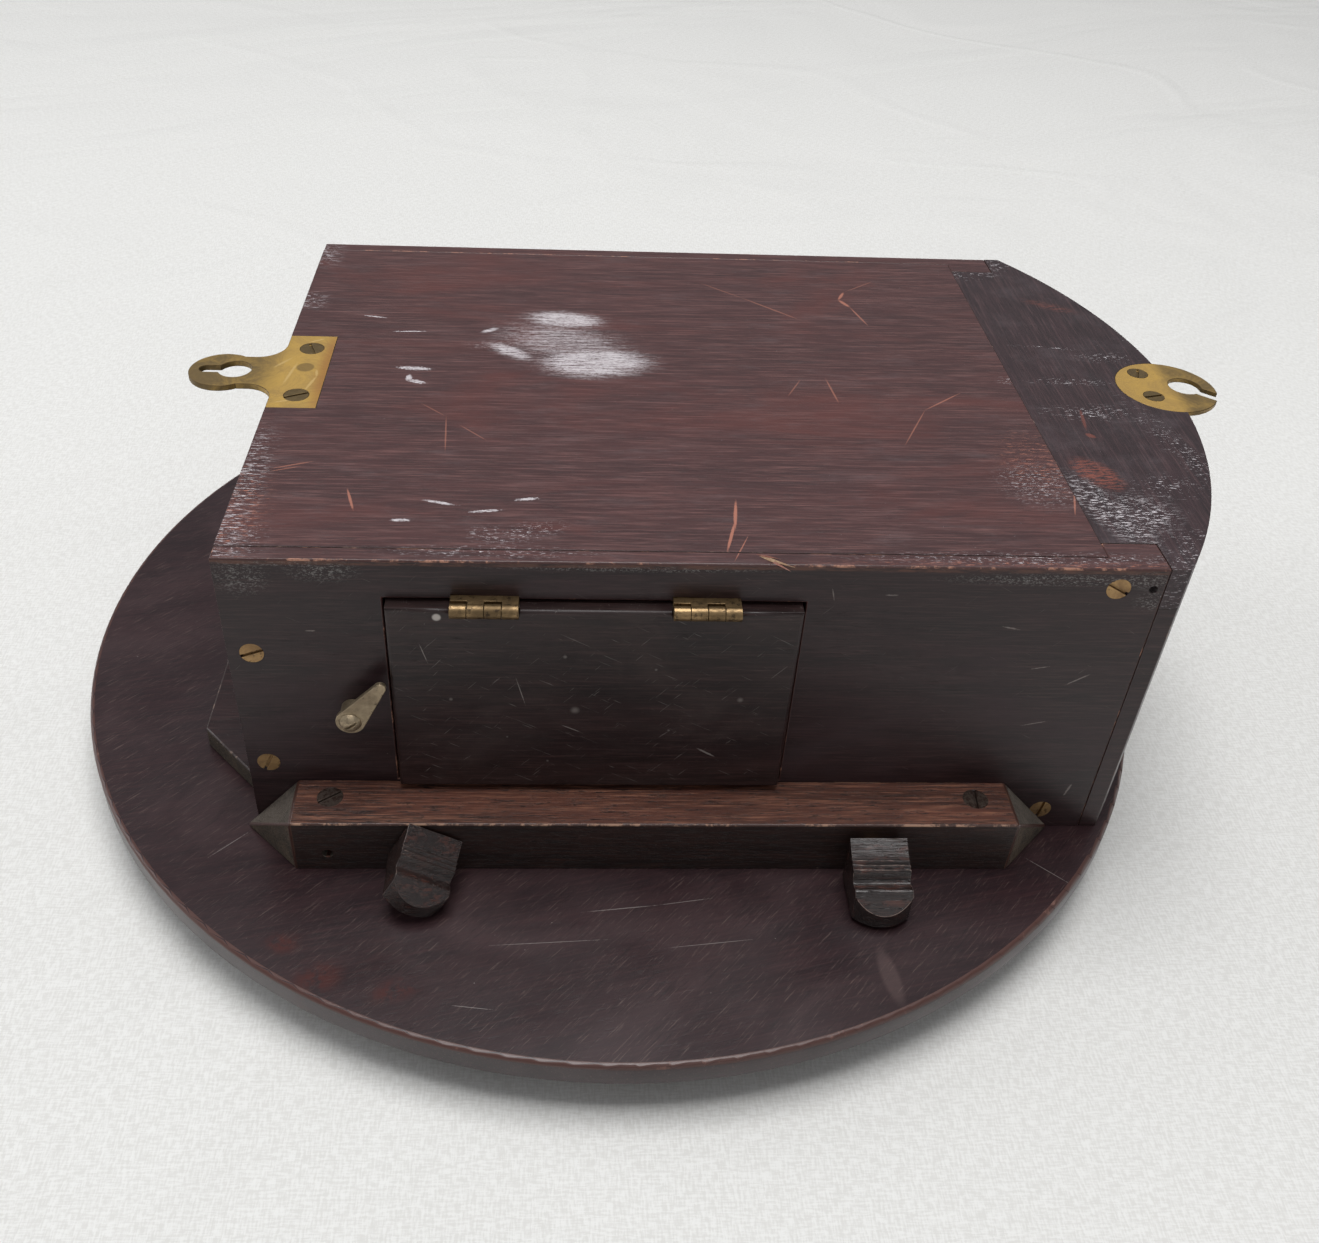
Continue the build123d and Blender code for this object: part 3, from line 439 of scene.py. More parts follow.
def side_wood(name, seed, dusty):
    """Very dark brown sides; dusty adds the grey flaking, rubbed strip and scratches of the near side."""
    p = Paint(name)
    colour, height = wood_base(p, "X", (0.011, 0.0054, 0.0062), (0.028, 0.0128, 0.0140),
                               (0.054, 0.027, 0.0265), seed)
    bloom = p.noise((14.0, 14.0, 30.0), 4.0, 0.6, (seed, 2.0, 1.0), 0.0, 1.0)
    colour = p.mix(p.steps(bloom, 0.45, 0.75, 0.0, 0.45), colour, (0.050, 0.0305, 0.0345))
    dust = p.maths("MULTIPLY", specks(p, seed, 0.735, 700.0), 0.55)
    tick = dragged(p, seed + 3.0, 0.72, (420.0, 900.0, 1200.0))
    dust = p.most(dust, p.maths("MULTIPLY", tick, 0.45), p.maths("MULTIPLY", hairs(p, seed, 0.70), 0.22))
    if dusty:
        lace = dragged(p, 2.7, 0.53, (1100.0, 900.0, 2300.0))
        laced = p.side_patches([(-107.5, 99, 6, 5, 0, 0.7), (-85.5, 101.4, 8, 3.2, 0, 0.7),
                                (-96, 103.6, 16, 0.8, 0, 0.6), (120, 101, 27, 1.8, 0, 0.6),
                                (147, 94, 4, 3, 20, 0.7), (143, 101, 9, 2.2, 0, 0.7),
                                (0, 103, 30, 0.8, 0, 0.7)])
        colour = p.mix(p.maths("MULTIPLY", p.maths("MULTIPLY", laced, lace), 0.42), colour, DUST)
        strip = p.steps(p.part("Z"), 102.9, 103.5)
        patchy = p.steps(p.noise((120.0, 400.0, 900.0), 5.0, 0.75, (5.0, 5.0, 0.0)), 0.36, 0.62)
        colour = p.mix(p.maths("MULTIPLY", strip, p.maths("MULTIPLY", patchy, 0.75)), colour,
                       (0.135, 0.055, 0.035))
        # Each pale scratch is x, z at both ends and half its width.
        marks = [(130, 62, 136, 66, 0.30), (106, 84, 111, 83, 0.30), (141, 14, 142.5, 20, 0.42),
                 (120, 45, 128, 47, 0.21), (-92, 80, -89, 80, 0.24), (70, 95, 74, 95, 0.24),
                 (118, 68, 123, 69, 0.21), (55, 97, 56, 93, 0.18)]
        for x0, z0, x1, z1, width in marks:
            mark = p.scratch((x0, SIDE_FACE, z0), (x1, SIDE_FACE, z1), width, 1.2)
            dust = p.most(dust, p.maths("MULTIPLY", mark, 0.6))
    colour = p.mix(dust, colour, (0.26, 0.22, 0.20))
    rough = p.steps(bloom, 0.35, 0.75, 0.32, 0.50)
    return p.finish(colour, rough, height, 0.22, depth=0.0002, specular=0.38)


def door_wood():
    """The door's own board: dark, with pale specks and a few short scratches."""
    p = Paint("door_wood")
    colour, height = wood_base(p, "X", (0.0095, 0.0048, 0.0050), (0.023, 0.0110, 0.0110),
                               (0.050, 0.026, 0.0245), 8.3)
    bloom = p.noise((16.0, 16.0, 26.0), 4.0, 0.6, (1.0, 2.0, 8.0), 0.0, 1.0)
    colour = p.mix(p.steps(bloom, 0.45, 0.72, 0.0, 0.5), colour, (0.055, 0.036, 0.033))
    dots = [(-19.1, 74.6, 0.75), (7.0, 70.0, 0.5), (-16.0, 54.0, 1.6), (32.3, 58.5, 1.1), (12.0, 46.0, 0.5),
            (-52.0, 58.0, 0.7), (-36.0, 43.0, 0.4), (-24.0, 33.0, 0.5)]
    dusty = p.maths("MULTIPLY", specks(p, 3.9, 0.735, 700.0), 0.55)
    marks = p.most(dusty, p.maths("MULTIPLY", hairs(p, 2.4, 0.69), 0.22))
    marks = p.most(marks, p.patch((-54.7, DOOR_FACE, 88.6), (1.15, 3, 1.15), 0, 0.3))
    for x, z, size in dots:
        soft = p.patch((x, DOOR_FACE, z), (size * 0.6, 3, size * 0.6), 0, 0.9)
        marks = p.most(marks, p.maths("MULTIPLY", soft, 0.25))
    for x0, z0, x1, z1, width in [(21, 38.6, 26.5, 35.2, 0.400), (-33, 66, -30.5, 56, 0.176),
                                  (-60, 79, -58, 72, 0.176), (-20, 48, -14, 45, 0.200)]:
        mark = p.scratch((x0, DOOR_FACE, z0), (x1, DOOR_FACE, z1), width, 0.8)
        marks = p.most(marks, p.maths("MULTIPLY", mark, 0.35))
    colour = p.mix(p.maths("MULTIPLY", marks, 0.85), colour, (0.55, 0.50, 0.46))
    rough = p.steps(bloom, 0.35, 0.75, 0.30, 0.46)
    return p.finish(colour, rough, height, 0.22, depth=0.0002, specular=0.38)


def surround_wood():
    """Glossy dark purple-brown board, with fine slanting scratches and a few rubbed patches."""
    p = Paint("surround_wood")
    colour, height = wood_base(p, "X", (0.0145, 0.0060, 0.0080), (0.026, 0.0105, 0.0128),
                               (0.044, 0.019, 0.0200), 11.4, 0.25)
    cloud = p.noise((13.0, 22.0, 13.0), 4.0, 0.62, (2.0, 6.0, 0.0), 0.2, 1.0)
    colour = p.mix(p.steps(cloud, 0.44, 0.70, 0.0, 0.6), colour, (0.050, 0.026, 0.028))
    fine = p.noise((2300.0, 120.0, 900.0), 3.0, 0.7, (0.0, 3.0, 0.0), -0.75, 0.2)
    hair = p.steps(fine, 0.56, 0.72)
    colour = p.mix(p.maths("MULTIPLY", hair, 0.42), colour, (0.145, 0.098, 0.085))
    deeper = p.noise((1700.0, 80.0, 900.0), 3.0, 0.7, (4.0, 3.0, 0.0), -0.75, 0.2)
    colour = p.mix(p.steps(deeper, 0.54, 0.70, 0.0, 0.6), colour, (0.0085, 0.0042, 0.0052))
    reddened = [(-88, -162, 6, 4.5, 20, 0.6), (-100, -150, 4, 3, 0, 0.7), (-66, -166, 6, 3, 20, 0.8)]
    red = p.flat_patches(reddened, height=0, deep=30)
    red = p.maths("MULTIPLY", red, p.steps(p.noise((160.0, 160.0, 160.0), 4.0, 0.7), 0.40, 0.58))
    colour = p.mix(p.maths("MULTIPLY", red, 0.8), colour, (0.060, 0.012, 0.009))
    dull = p.flat_patches([(76, -162, 2.6, 9, 8, 0.3)], height=0, deep=30)
    colour = p.mix(p.maths("MULTIPLY", dull, 0.30), colour, (0.13, 0.085, 0.08))
    marks = p.maths("MULTIPLY", specks(p, 6.6, 0.755, 420.0), 0.8)
    lines = [(-12, -139, 10, -136.5, 0.18), (10, -136.5, 26, -134, 0.14), (-40, -151, -6, -149, 0.12),
             (-128, -118, -118, -108, 0.16), (128, -118, 140, -129, 0.14), (12, -152, 38, -149, 0.12),
             (-50, -171, -38, -172.5, 0.14)]
    for x0, y0, x1, y1, width in lines:
        mark = p.scratch((x0, y0, 0), (x1, y1, 0), width, 0.9)
        marks = p.most(marks, p.maths("MULTIPLY", mark, 0.45))
    colour = p.mix(p.maths("MULTIPLY", marks, 0.8), colour, (0.42, 0.38, 0.36))
    wear = p.noise((26.0, 26.0, 26.0), 2.0, 0.5, (7.0, 1.0, 0.0))
    rough = p.steps(p.maths("ADD", wear, p.maths("MULTIPLY", hair, 0.12)), 0.30, 0.80, 0.29, 0.41)
    return p.finish(colour, rough, height, 0.12, depth=0.00016, coat=0.12, specular=0.4)


def batten_wood(name, tones, dulled):
    """Open-grained red-brown mahogany, with short dark pores; dulled is the colour grime gives it."""
    p = Paint(name)
    colour, height = wood_base(p, "X", *tones, 2.3)
    dark = p.noise((26.0, 60.0, 60.0), 4.0, 0.6, (3.0, 3.0, 3.0))
    colour = p.mix(p.steps(dark, 0.50, 0.72, 0.0, 0.5), colour, dulled)
    dash = p.noise((190.0, 1250.0, 1250.0), 3.0, 0.7, (6.0, 2.0, 1.0))
    dashes = p.steps(dash, 0.56, 0.64)
    colour = p.mix(p.maths("MULTIPLY", dashes, 0.75), colour, [c * 0.4 for c in tones[0]])
    dust = p.maths("MULTIPLY", specks(p, 7.1, 0.74, 420.0), 0.5)
    colour = p.mix(dust, colour, (0.34, 0.25, 0.20))
    height = p.maths("SUBTRACT", height, p.maths("MULTIPLY", dashes, 0.5))
    return p.finish(colour, 0.46, height, 0.5, depth=0.0003)


def sawn_wood(name, base, pale, seed):
    """Rough grey-olive end grain left by a saw."""
    p = Paint(name)
    fuzz = p.noise((1300.0, 1300.0, 1300.0), 5.0, 0.75, (seed, 0.0, 0.0))
    blotch = p.noise((90.0, 90.0, 90.0), 4.0, 0.7, (seed, 2.0, 0.0))
    colour = p.mix(p.steps(p.maths("ADD", p.maths("MULTIPLY", fuzz, 0.5), p.maths("MULTIPLY", blotch, 0.5)),
                           0.36, 0.66), base, pale)
    return p.finish(colour, 0.85, fuzz, 0.9, depth=0.0008)


def peg_wood():
    """Dark handled peg wood with red streaks, bare where a near peg's shank stands clear of its batten."""
    p = Paint("peg_wood")
    colour, height = wood_base(p, "X", (0.008, 0.0050, 0.0048), (0.021, 0.0115, 0.0102),
                               (0.062, 0.036, 0.030), 4.9)
    red = p.noise((130.0, 420.0, 420.0), 4.0, 0.7, (5.0, 1.0, 2.0))
    colour = p.mix(p.steps(red, 0.52, 0.66, 0.0, 0.55), colour, (0.095, 0.030, 0.020))
    grime = p.noise((70.0, 150.0, 150.0), 4.0, 0.7, (2.0, 1.0, 4.0))
    colour = p.mix(p.steps(grime, 0.42, 0.68, 0.0, 0.8), colour, (0.013, 0.0085, 0.0080))
    bare = p.patch((76.5, -124.2, 10), (10, 1.65, 10), 0, 0.1)
    colour = p.mix(p.maths("MULTIPLY", bare, 0.9), colour, (0.50, 0.27, 0.13))
    return p.finish(colour, 0.24, height, 0.6, depth=0.0004, specular=0.6)


def plain_wood(name, deep, middle, light, seed, rough=0.55):
    """Simple grained wood for inner pieces."""
    p = Paint(name)
    colour, height = wood_base(p, "X", deep, middle, light, seed)
    return p.finish(colour, rough, height, 0.3, depth=0.0002)


def edge_wear_and_highlight(name, base, pale, share, seed, bump=0.5, span=None):
    """Rubbed arris with a painted highlight: mostly the board's own colour, broken by a paler colour that is
    partly bare wood and partly a painted highlight.
    span keeps this pale colour between two distances (mm) along X from the dial's axis."""
    p = Paint(name)
    run = p.noise((60.0, 60.0, 60.0), 5.0, 0.75, (seed, seed, 0.0))
    nick = p.noise((420.0, 420.0, 420.0), 3.0, 0.7, (seed, 0.0, seed))
    bare = p.steps(p.maths("ADD", p.maths("MULTIPLY", run, 0.7), p.maths("MULTIPLY", nick, 0.3)),
                   0.62 - share, 0.70 - share)
    if span:
        off = p.maths("ABSOLUTE", p.maths("SUBTRACT", p.part("X"), (span[0] + span[1]) / 2))
        half = (span[1] - span[0]) / 2
        bare = p.maths("MULTIPLY", bare, p.steps(off, half - 2.0, half, 1.0, 0.0))
    # Painted highlight: the pale colour stands partly for bare wood and partly for light caught along the
    # arris.
    colour = p.mix(bare, base, pale)
    return p.finish(colour, p.steps(bare, 0.0, 1.0, 0.32, 0.55), nick, bump, depth=0.0003)


# ------------------------------------------------------------------ metal, glass and paint
def brass(name, bright, tarnish, dirty, seed, rough=(0.28, 0.55), share=0.0):
    """Aged brass: bright metal under brown tarnish and fine scratches."""
    p = Paint(name)
    cloud = p.noise((85.0, 85.0, 85.0), 5.0, 0.7, (seed, 1.0, 2.0), 0.0, 0.6)
    spot = p.noise((520.0, 520.0, 520.0), 3.0, 0.75, (seed, 0.0, 0.0))
    line = p.noise((260.0, 2400.0, 260.0), 2.0, 0.6, (0.0, seed, 0.0), 0.5)
    colour = p.mix(p.steps(cloud, 0.40 - share, 0.68 - share), bright, tarnish)
    colour = p.mix(p.steps(spot, 0.60 - share, 0.72 - share, 0.0, 0.75), colour, dirty)
    worn = p.steps(p.maths("ADD", p.maths("MULTIPLY", cloud, 0.6), p.maths("MULTIPLY", line, 0.4)), 0.38,
                   0.66, rough[0], rough[1])
    return p.finish(colour, worn, p.maths("ADD", spot, line), 0.22, metal=0.85, depth=0.00012)


def plate_brass(name):
    """The two wall plates: ochre on the box, olive and dark where they stand clear of it."""
    p = Paint(name)
    cloud = p.noise((70.0, 70.0, 70.0), 6.0, 0.75, (1.0, 4.0, 0.0), 0.0, 0.8)
    spot = p.noise((700.0, 700.0, 700.0), 4.0, 0.75, (2.0, 0.0, 0.0))
    colour = p.mix(p.steps(cloud, 0.36, 0.66), (0.60, 0.375, 0.092), (0.41, 0.26, 0.080))
    overhang = p.most(p.steps(p.part("X"), -124.0, -111.0, 1.0, 0.0), p.steps(p.part("X"), 185.0, 192.0))
    stain = p.maths("MULTIPLY", overhang,
                    p.steps(p.maths("MULTIPLY_ADD", spot, 0.3, cloud), 0.45, 0.78, 0.55, 1.0))
    colour = p.mix(p.maths("MULTIPLY", stain, 0.85), colour, (0.115, 0.080, 0.036))
    inner = p.maths("MULTIPLY", p.flat_patches([(-99, 0.5, 3.0, 26, 0, 0.7)], deep=20), 0.6)
    colour = p.mix(inner, colour, (0.33, 0.125, 0.035))
    plug = p.flat_patches([(-106.6, 2.6, 2.9, 2.9, 0, 0.12)], deep=20)
    colour = p.mix(p.maths("MULTIPLY", plug, 0.75), colour, (0.20, 0.130, 0.045))
    colour = p.mix(p.steps(spot, 0.62, 0.74, 0.0, 0.6), colour, (0.10, 0.062, 0.028))
    lines = [(-112.0, -9.0, -109.6, 6.0), (-104.4, -13.0, -102.0, -3.5), (-102.0, -3.5, -102.6, 1.0),
             (-117.0, 2.0, -112.0, 9.0),
             (-113.0, -21.0, -104.0, -18.0), (-108.0, 20.5, -103.0, 23.5)]
    bright = p.steps(spot, 0.74, 0.80)
    for x0, y0, x1, y1 in lines:
        bright = p.most(bright, p.scratch((x0, y0, BACK_FACE), (x1, y1, BACK_FACE), 0.55, 0.8))
    colour = p.mix(p.maths("MULTIPLY", bright, 0.55), colour, (0.70, 0.50, 0.21))
    rough = p.steps(cloud, 0.35, 0.70, 0.42, 0.60)
    return p.finish(colour, rough, spot, 0.25, metal=0.45, depth=0.00012)


def metal(name, tone, rough, seed, rust=None):
    """Plain metal with uneven polish, and rust or grime if a colour is given."""
    p = Paint(name)
    cloud = p.noise((160.0, 160.0, 160.0), 4.0, 0.7, (seed, 0.0, 0.0))
    colour = p.mix(p.steps(cloud, 0.35, 0.70), tone, [c * 0.72 for c in tone])
    if rust:
        grime = p.noise((380.0, 380.0, 380.0), 4.0, 0.75, (0.0, seed, 0.0))
        colour = p.mix(p.steps(grime, 0.44, 0.60), colour, rust)
    return p.finish(colour, p.steps(cloud, 0.30, 0.72, rough, rough + 0.2), cloud, 0.2, metal=0.8,
                    depth=0.0001)


def dial_paint():
    """Off-white painted dial with a plain minute track and hour bars."""
    p = Paint("dial_paint")
    x = p.part("X")
    y = p.part("Y")
    radius = p.maths("SQRT", p.maths("ADD", p.maths("MULTIPLY", x, x), p.maths("MULTIPLY", y, y)))
    turn_share = p.maths("MULTIPLY", p.maths("ARCTAN2", y, x), 1.0 / (2.0 * math.pi))

    def bars(count, inner, outer, width):
        place = p.maths("FRACT", p.maths("MULTIPLY_ADD", turn_share, float(count), 0.5))
        off = p.maths("ABSOLUTE", p.maths("SUBTRACT", place, 0.5))
        arc = p.maths("MULTIPLY", p.maths("MULTIPLY", off, radius), 2.0 * math.pi / count)
        inside = p.maths("MULTIPLY", p.steps(radius, inner, inner + 0.4),
                         p.steps(radius, outer, outer + 0.4, 1.0, 0.0))
        return p.maths("MULTIPLY", p.steps(arc, width, width + 0.3, 1.0, 0.0), inside)

    rings = p.maths("MULTIPLY", p.steps(radius, 133.6, 133.9), p.steps(radius, 134.3, 134.6, 1.0, 0.0))
    rings = p.most(rings, p.maths("MULTIPLY", p.steps(radius, 139.6, 139.9),
                                  p.steps(radius, 140.3, 140.6, 1.0, 0.0)))
    ink = p.most(rings, bars(60, 134, 140, 0.4), bars(12, 98, 130, 2.6))
    aged = p.noise((30.0, 30.0, 30.0), 5.0, 0.7)
    colour = p.mix(p.steps(aged, 0.40, 0.75), (0.78, 0.75, 0.66), (0.66, 0.61, 0.50))
    colour = p.mix(ink, colour, (0.012, 0.012, 0.014))
    return p.finish(colour, 0.38, aged, 0.1, depth=0.0001)


def clear_glass():
    """Old flat glass."""
    p = Paint("clear_glass")
    ripple = p.noise((12.0, 12.0, 12.0), 2.0, 0.5)
    p.shader.inputs["Transmission Weight"].default_value = 1.0
    p.shader.inputs["IOR"].default_value = 1.48
    return p.finish((0.96, 0.98, 0.97), 0.03, ripple, 0.04, depth=0.0002)


# ------------------------------------------------------------------ geometry
nodes = frame["nodes"]
BACK_EDGE_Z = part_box("back_board")[1][2] - MM
WELD = 2e-6
COPLANAR = math.radians(0.6)
ROUNDED_FROM = math.radians(28)
SHARP_FROM = math.radians(60)
body_of_node = {}
for body_name, members in frame["record"]["behaviour"]["bodies"].items():
    for member in members:
        body_of_node[member] = body_name


def link_piece(name, mesh, body):
    """Adds a mesh object that moves with a body."""
    piece = bpy.data.objects.new(name, mesh)
    bpy.context.collection.objects.link(piece)
    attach(piece, body)
    return piece


def softened(node, width, materials, rule=None, least=0.0):
    """The node's shape with rounded arrises. The second material goes on the rounding.
    rule(normal, centre) may pick another material index for a face.
    Edges shorter than least (mm), such as the facets round a screw hole, stay sharp."""
    mesh = nodes[node].data.copy()
    mesh.name = node + ".soft"
    mesh.materials.clear()
    for material in materials:
        mesh.materials.append(material)
    work = bmesh.new()
    work.from_mesh(mesh)
    bmesh.ops.remove_doubles(work, verts=work.verts, dist=WELD)
    bmesh.ops.dissolve_limit(work, angle_limit=COPLANAR, verts=work.verts, edges=work.edges)
    for face in work.faces:
        face.smooth = True
        face.material_index = rule(face.normal, face.calc_center_median()) if rule else 0
    rounding = work.edges.layers.float.new("bevel_weight_edge")
    for edge in work.edges:
        corner = edge.calc_face_angle(0.0) > ROUNDED_FROM and edge.calc_length() > least * MM
        edge[rounding] = 1.0 if corner else 0.0
    work.to_mesh(mesh)
    work.free()
    mesh.set_sharp_from_angle(angle=SHARP_FROM)
    if mesh.has_custom_normals:
        mesh.attributes.remove(mesh.attributes["custom_normal"])
    piece = link_piece(node + ".soft", mesh, body_of_node[node])
    bevel = piece.modifiers.new("arris", "BEVEL")
    bevel.width = width * MM
    bevel.segments = 2
    bevel.limit_method = "WEIGHT"
    bevel.material = 1
    bevel.use_clamp_overlap = True
    flat = piece.modifiers.new("flat faces", "WEIGHTED_NORMAL")
    flat.weight = 100
    flat.keep_sharp = True
    bake(piece)
    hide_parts(node)
    return piece


def bake(piece):
    """Applies the modifiers of a piece."""
    graph = bpy.context.evaluated_depsgraph_get()
    graph.update()
    solid = bpy.data.meshes.new_from_object(piece.evaluated_get(graph), preserve_all_data_layers=True,
                                            depsgraph=graph)
    piece.modifiers.clear()
    piece.data = solid


def coat(node, material):
    """Gives a CAD node its final material."""
    data = nodes[node].data
    data.materials.clear()
    data.materials.append(material)


# ------------------------------------------------------------------ the pieces
# Millimetres: the shortest edge rounded beside screw holes, the depth of the surround's own round
# arris, and the length of a batten's sawn facet. The surround's rounding is already in its shape.
LONG_EDGE = 4.0
ARRIS_DEEP = 3.0
FACET = 18.4
SURROUND_ACROSS = (surround_hi[1] - surround_lo[1]) / MM
batten_lo, batten_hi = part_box("side_batten_near")
batten_start = (batten_lo[0] - AXIS_X) / MM + FACET
batten_end = (batten_hi[0] - AXIS_X) / MM - FACET
# The rounded arrises: the pale colour is partly bare rubbed wood and partly a painted highlight along each
# edge.
worn_highlit_dark = edge_wear_and_highlight("worn_highlit_dark_edge", (0.030, 0.016, 0.014), (0.20, 0.135, 0.105), 0.06, 1.0)
worn_highlit_back = edge_wear_and_highlight("worn_highlit_back_edge", (0.060, 0.024, 0.021), (0.36, 0.175, 0.115), 0.10, 2.0)
worn_highlit_door = edge_wear_and_highlight("worn_highlit_door_edge", (0.026, 0.014, 0.013), (0.24, 0.20, 0.18), 0.09, 3.0)
worn_highlit_batten = edge_wear_and_highlight("worn_highlit_batten_edge", (0.055, 0.024, 0.018), (0.34, 0.195, 0.130), 0.13, 4.0, 
                        span=(batten_start, batten_end))
worn_highlit_peg = edge_wear_and_highlight("worn_highlit_peg_edge", (0.030, 0.019, 0.017), (0.26, 0.19, 0.16), 0.10, 5.0)
worn_highlit_rim = edge_wear_and_highlight("worn_highlit_rim_edge", (0.075, 0.032, 0.026), (0.17, 0.085, 0.066), 0.04, 6.0, bump=0.08)

near_side = side_wood("near_side_wood", 5.1, True)
other_side = side_wood("other_side_wood", 7.9, False)
dark_end = dark_end_wood()
back_wood = back_board_wood()
sawn_grey = sawn_wood("sawn_grey", (0.046, 0.035, 0.027), (0.130, 0.104, 0.082), 1.0)
sawn_ragged = sawn_wood("sawn_ragged", (0.028, 0.019, 0.013), (0.115, 0.078, 0.050), 3.0)


def batten_face(normal, centre):
    """Sawn wood on the slanting ends, and painted shade on the upright faces: a darker copy of the batten
    wood.
    """
    if abs(normal.x) > 0.3:
        return 2 if normal.z > 0.3 else 3
    return 4 if abs(normal.y) > 0.7 else 0


def top_face(normal, centre):
    """The back board's wood on a side's back edge."""
    return 2 if normal.z > 0.7 and centre.z > BACK_EDGE_Z else 0


def rim_face(normal, centre):
    """The round arris of the surround's back face, rubbed and with a painted highlight."""
    return 1 if 0.15 < normal.z < 0.97 and centre.z > BACK_Z - ARRIS_DEEP * MM else 0


def end_batten_face(normal, centre):
    return 2 if abs(normal.y) > 0.3 and abs(normal.x) > 0.3 else 0


softened("dial_surround", 0.9, [surround_wood(), worn_highlit_rim], rim_face, least=SURROUND_ACROSS)
softened("back_board", 0.2, [back_wood, worn_highlit_dark])
softened("bottom_back_piece", 0.4, [dark_end, worn_highlit_dark])
softened("curved_bottom_board", 0.5, [other_side, worn_highlit_dark])
softened("side_board_near", 0.5, [near_side, worn_highlit_back, back_wood], top_face, least=LONG_EDGE)
softened("side_board_far", 0.5, [other_side, worn_highlit_back, back_wood], top_face, least=LONG_EDGE)
softened("top_end_board", 0.5, [other_side, worn_highlit_dark])
softened("side_door", 0.5, [door_wood(), worn_highlit_door], least=1.0)
batten = batten_wood("batten_wood", ((0.022, 0.0085, 0.0065), (0.115, 0.040, 0.026), (0.340, 0.150, 0.092)),
                     (0.034, 0.0145, 0.0110))
# Painted shade: a much darker copy of the batten wood, for the batten's upright faces.
batten_shaded_face_wood = batten_wood("batten_shaded_face_wood",
                               ((0.0095, 0.0048, 0.0040), (0.024, 0.0105, 0.0085), (0.055, 0.024, 0.018)),
                               (0.014, 0.0080, 0.0070))
for end in ("near", "far"):
    woods = [batten, worn_highlit_batten, sawn_grey, sawn_ragged, batten_shaded_face_wood]
    softened("side_batten_" + end, 0.55, woods, batten_face, least=LONG_EDGE)
softened("end_batten", 0.6, [other_side, worn_highlit_dark, sawn_ragged], end_batten_face, least=LONG_EDGE)
peg = peg_wood()
for peg_name in ("peg_near_1", "peg_near_2", "peg_far_1", "peg_far_2"):
    softened(peg_name, 0.18, [peg, worn_highlit_peg])
coat("inner_cross_rail",
     plain_wood("pine", (0.22, 0.13, 0.06), (0.40, 0.26, 0.13), (0.52, 0.36, 0.20), 2.0, 0.7))

plates = plate_brass("plate_brass")
plate_edge = metal("plate_edge", (0.16, 0.105, 0.045), 0.45, 2.0)
for plate in ("hanging_plate", "stay_plate"):
    softened(plate, 0.18, [plates, plate_edge])
plate_screw = brass("plate_screw_brass", (0.20, 0.140, 0.065), (0.12, 0.085, 0.042), (0.03, 0.022, 0.015),
                    4.0, (0.42, 0.65))
for name in ("hanging_screws", "stay_screws"):
    softened(name, 0.12, [plate_screw, plate_screw])
case_screw = brass("case_screw_brass", (0.40, 0.255, 0.115), (0.26, 0.160, 0.078), (0.06, 0.038, 0.024), 6.0,
                   (0.38, 0.6), 0.04)
for name in ("case_screws_near", "case_screws_far"):
    softened(name, 0.12, [case_screw, case_screw])
old_iron = metal("old_iron", (0.10, 0.075, 0.062), 0.50, 3.0, (0.045, 0.026, 0.020))
for name in ("batten_screws_near", "batten_screws_far"):
    softened(name, 0.15, [old_iron, old_iron])
hinge_brass = brass("hinge_brass", (0.30, 0.200, 0.100), (0.15, 0.100, 0.050), (0.030, 0.020, 0.014), 8.0,
                    (0.34, 0.60), 0.06)
for n in (1, 2):
    for name in ("door_leaf_%d" % n, "case_leaf_%d" % n):
        softened(name, 0.10, [hinge_brass, hinge_brass])
    coat("door_hinge_pin_%d" % n, hinge_brass)
latch_brass = brass("latch_brass", (0.42, 0.335, 0.225), (0.27, 0.21, 0.140), (0.07, 0.052, 0.038), 10.0,
                    (0.36, 0.58))
softened("turn_latch", 0.2, [latch_brass, latch_brass])
softened("latch_screw", 0.12, [latch_brass, latch_brass])

bright = brass("bezel_brass", (0.72, 0.50, 0.18), (0.52, 0.34, 0.12), (0.14, 0.085, 0.035), 12.0,
               (0.16, 0.36), -0.05)
for name in ("bezel", "bezel_hinge_bracket"):
    softened(name, 0.12, [bright, bright])
coat("bezel_hinge_pin", bright)
coat("bezel_glass", clear_glass())
coat("dial_plate", dial_paint())
blued = metal("blued_steel", (0.020, 0.028, 0.075), 0.22, 5.0)
softened("hour_hand", 0.08, [blued, blued])
clock_brass = brass("clock_brass", (0.66, 0.45, 0.17), (0.48, 0.31, 0.12), (0.15, 0.09, 0.04), 14.0,
                    (0.22, 0.42))
for name in ("movement_front_plate", "movement_back_plate", "pillar_1", "pillar_2", "pillar_3", "pillar_4",
             "spring_barrel", "fusee_and_great_wheel", "pendulum_cock", "pendulum",
             "minute_hand_and_centre_wheel"):
    coat(name, clock_brass)
coat("barrel_arbor", metal("arbor_steel", (0.42, 0.42, 0.43), 0.25, 7.0))


def sliver(name, start, end, width, thick, material):
    """A split-off strip of wood, widest a third of the way along and pointed at both ends."""
    a = at(*start)
    b = at(*end)
    along = b - a
    side = along.cross(Vector((0.0, 0.0, 1.0))).normalized() * (width * MM / 2)
    up = side.cross(along).normalized() * (thick * MM)
    waist = a + along / 3
    points = [a, waist - side, waist + side, b, waist + side * 0.4 + up]
    mesh = bpy.data.meshes.new(name)
    mesh.from_pydata([tuple(point) for point in points], [],
                     [(0, 2, 4), (0, 4, 1), (4, 2, 3), (1, 4, 3), (0, 1, 2), (1, 3, 2)])
    mesh.materials.append(material)
    return link_piece(name, mesh, body_of_node["back_board"])


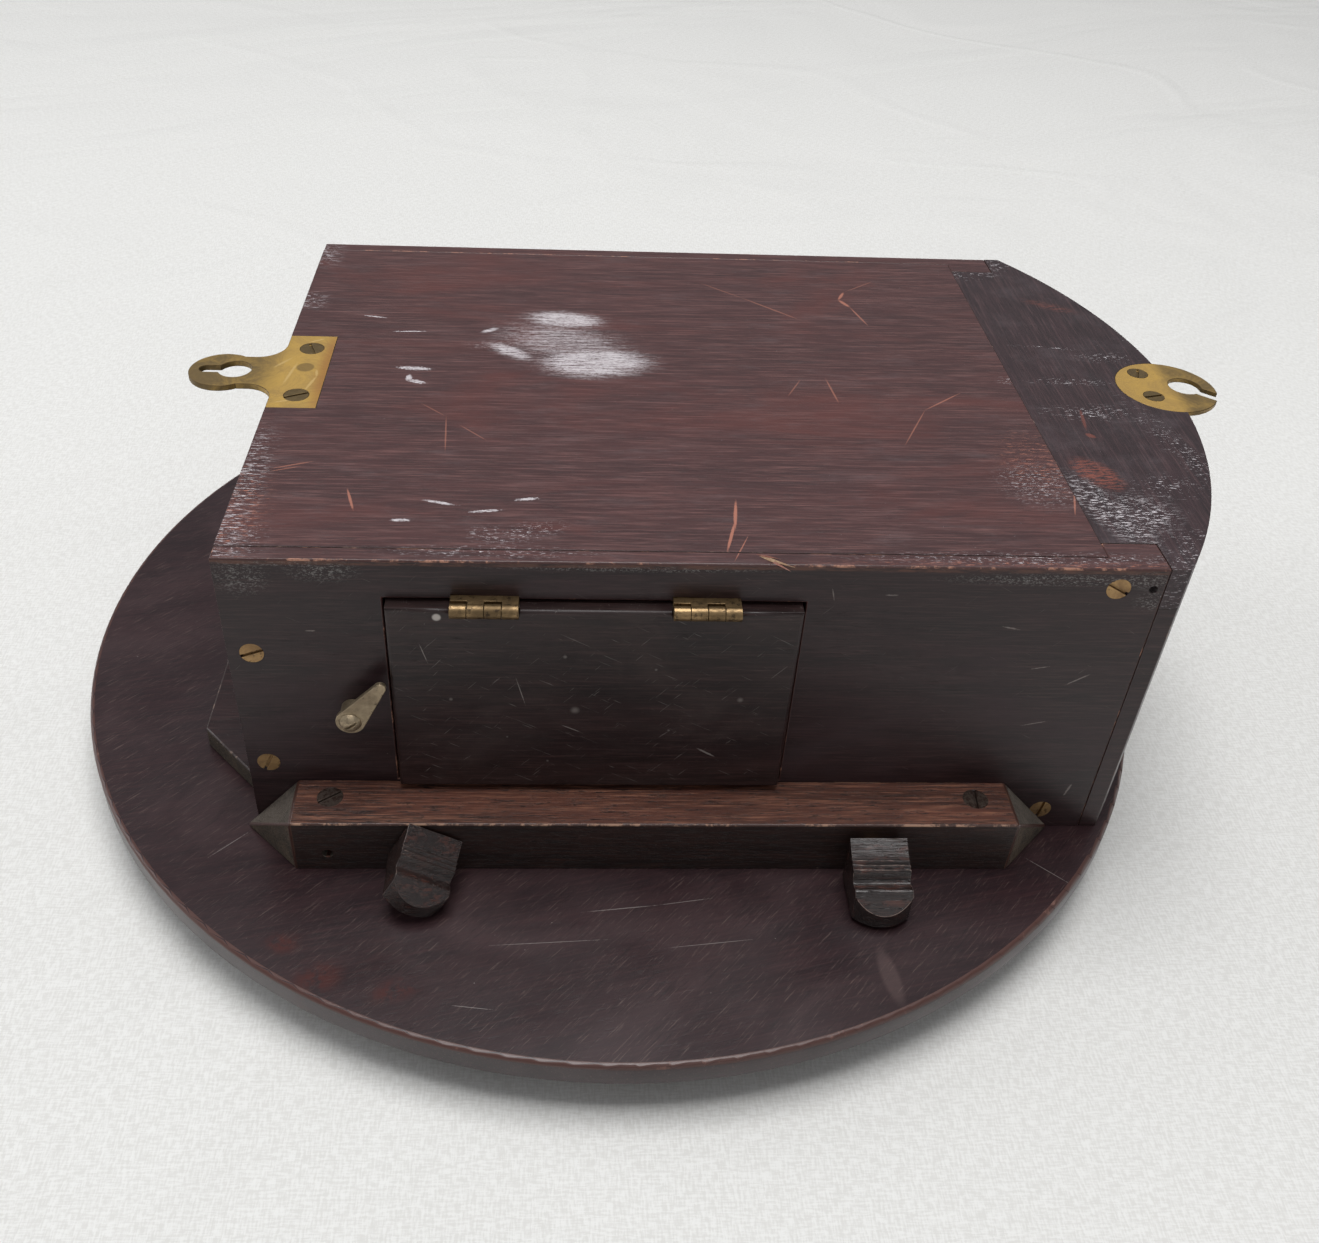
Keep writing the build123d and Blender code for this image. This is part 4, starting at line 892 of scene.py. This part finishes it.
straw = plain_wood("split_wood_pale", (0.34, 0.20, 0.12), (0.52, 0.34, 0.21), (0.62, 0.45, 0.30), 5.0, 0.7)
rosy = plain_wood("split_wood_rosy", (0.22, 0.09, 0.07), (0.34, 0.15, 0.115), (0.48, 0.26, 0.20), 6.0, 0.7)
SPLINTERS = [((34.0, -100.4, 105.0), (43.6, -106.4, 105.5), 1.5, 0.8, straw),
             ((36.0, -101.0, 105.0), (42.2, -107.4, 104.9), 1.3, 0.6, rosy),
             ((33.2, -99.6, 105.0), (40.0, -102.2, 105.3), 0.9, 0.5, rosy)]
for number, splinter in enumerate(SPLINTERS, start=1):
    sliver("splinter_%d" % number, *splinter)


# ------------------------------------------------------------------ floor
def floor_cloth():
    """Pale cotton sheet: a fine weave and slow shallow folds."""
    p = Paint("floor_cloth")
    weave = p.maths("ADD", p.noise((1500.0, 260.0, 1.0), 2.0, 0.6), p.noise((260.0, 1500.0, 1.0), 2.0, 0.6))
    fold = p.noise((2.2, 5.5, 1.0), 3.0, 0.55, (3.0, 1.0, 0.0), 0.5, 0.8)
    colour = p.mix(p.steps(weave, 0.80, 1.20), (0.70, 0.69, 0.665), (0.80, 0.795, 0.775))
    ridge = p.noise((2.6, 4.2, 1.0), 2.0, 0.5, (7.0, 2.0, 0.0), -0.4, 0.6)
    crease = p.steps(p.maths("ABSOLUTE", p.maths("SUBTRACT", ridge, 0.5)), 0.0, 0.045, 1.0, 0.0)
    soft_fold = p.maths("MULTIPLY_ADD", fold, 22.0, p.maths("MULTIPLY", crease, 1.1))
    height = p.maths("MULTIPLY_ADD", weave, 0.04, soft_fold)
    return p.finish(colour, 0.9, height, 0.35, depth=0.002, specular=0.2)


floor_mesh = bpy.data.meshes.new("floor")
FLOOR_HALF = 30.0
FLOOR_DROP = -0.0002
corners = [(-FLOOR_HALF, -FLOOR_HALF), (FLOOR_HALF, -FLOOR_HALF), (FLOOR_HALF, FLOOR_HALF),
           (-FLOOR_HALF, FLOOR_HALF)]
floor_mesh.from_pydata([(x, y, FLOOR_DROP) for x, y in corners], [], [(0, 1, 2, 3)])
floor = bpy.data.objects.new("floor", floor_mesh)
floor_mesh.materials.append(floor_cloth())
bpy.context.collection.objects.link(floor)
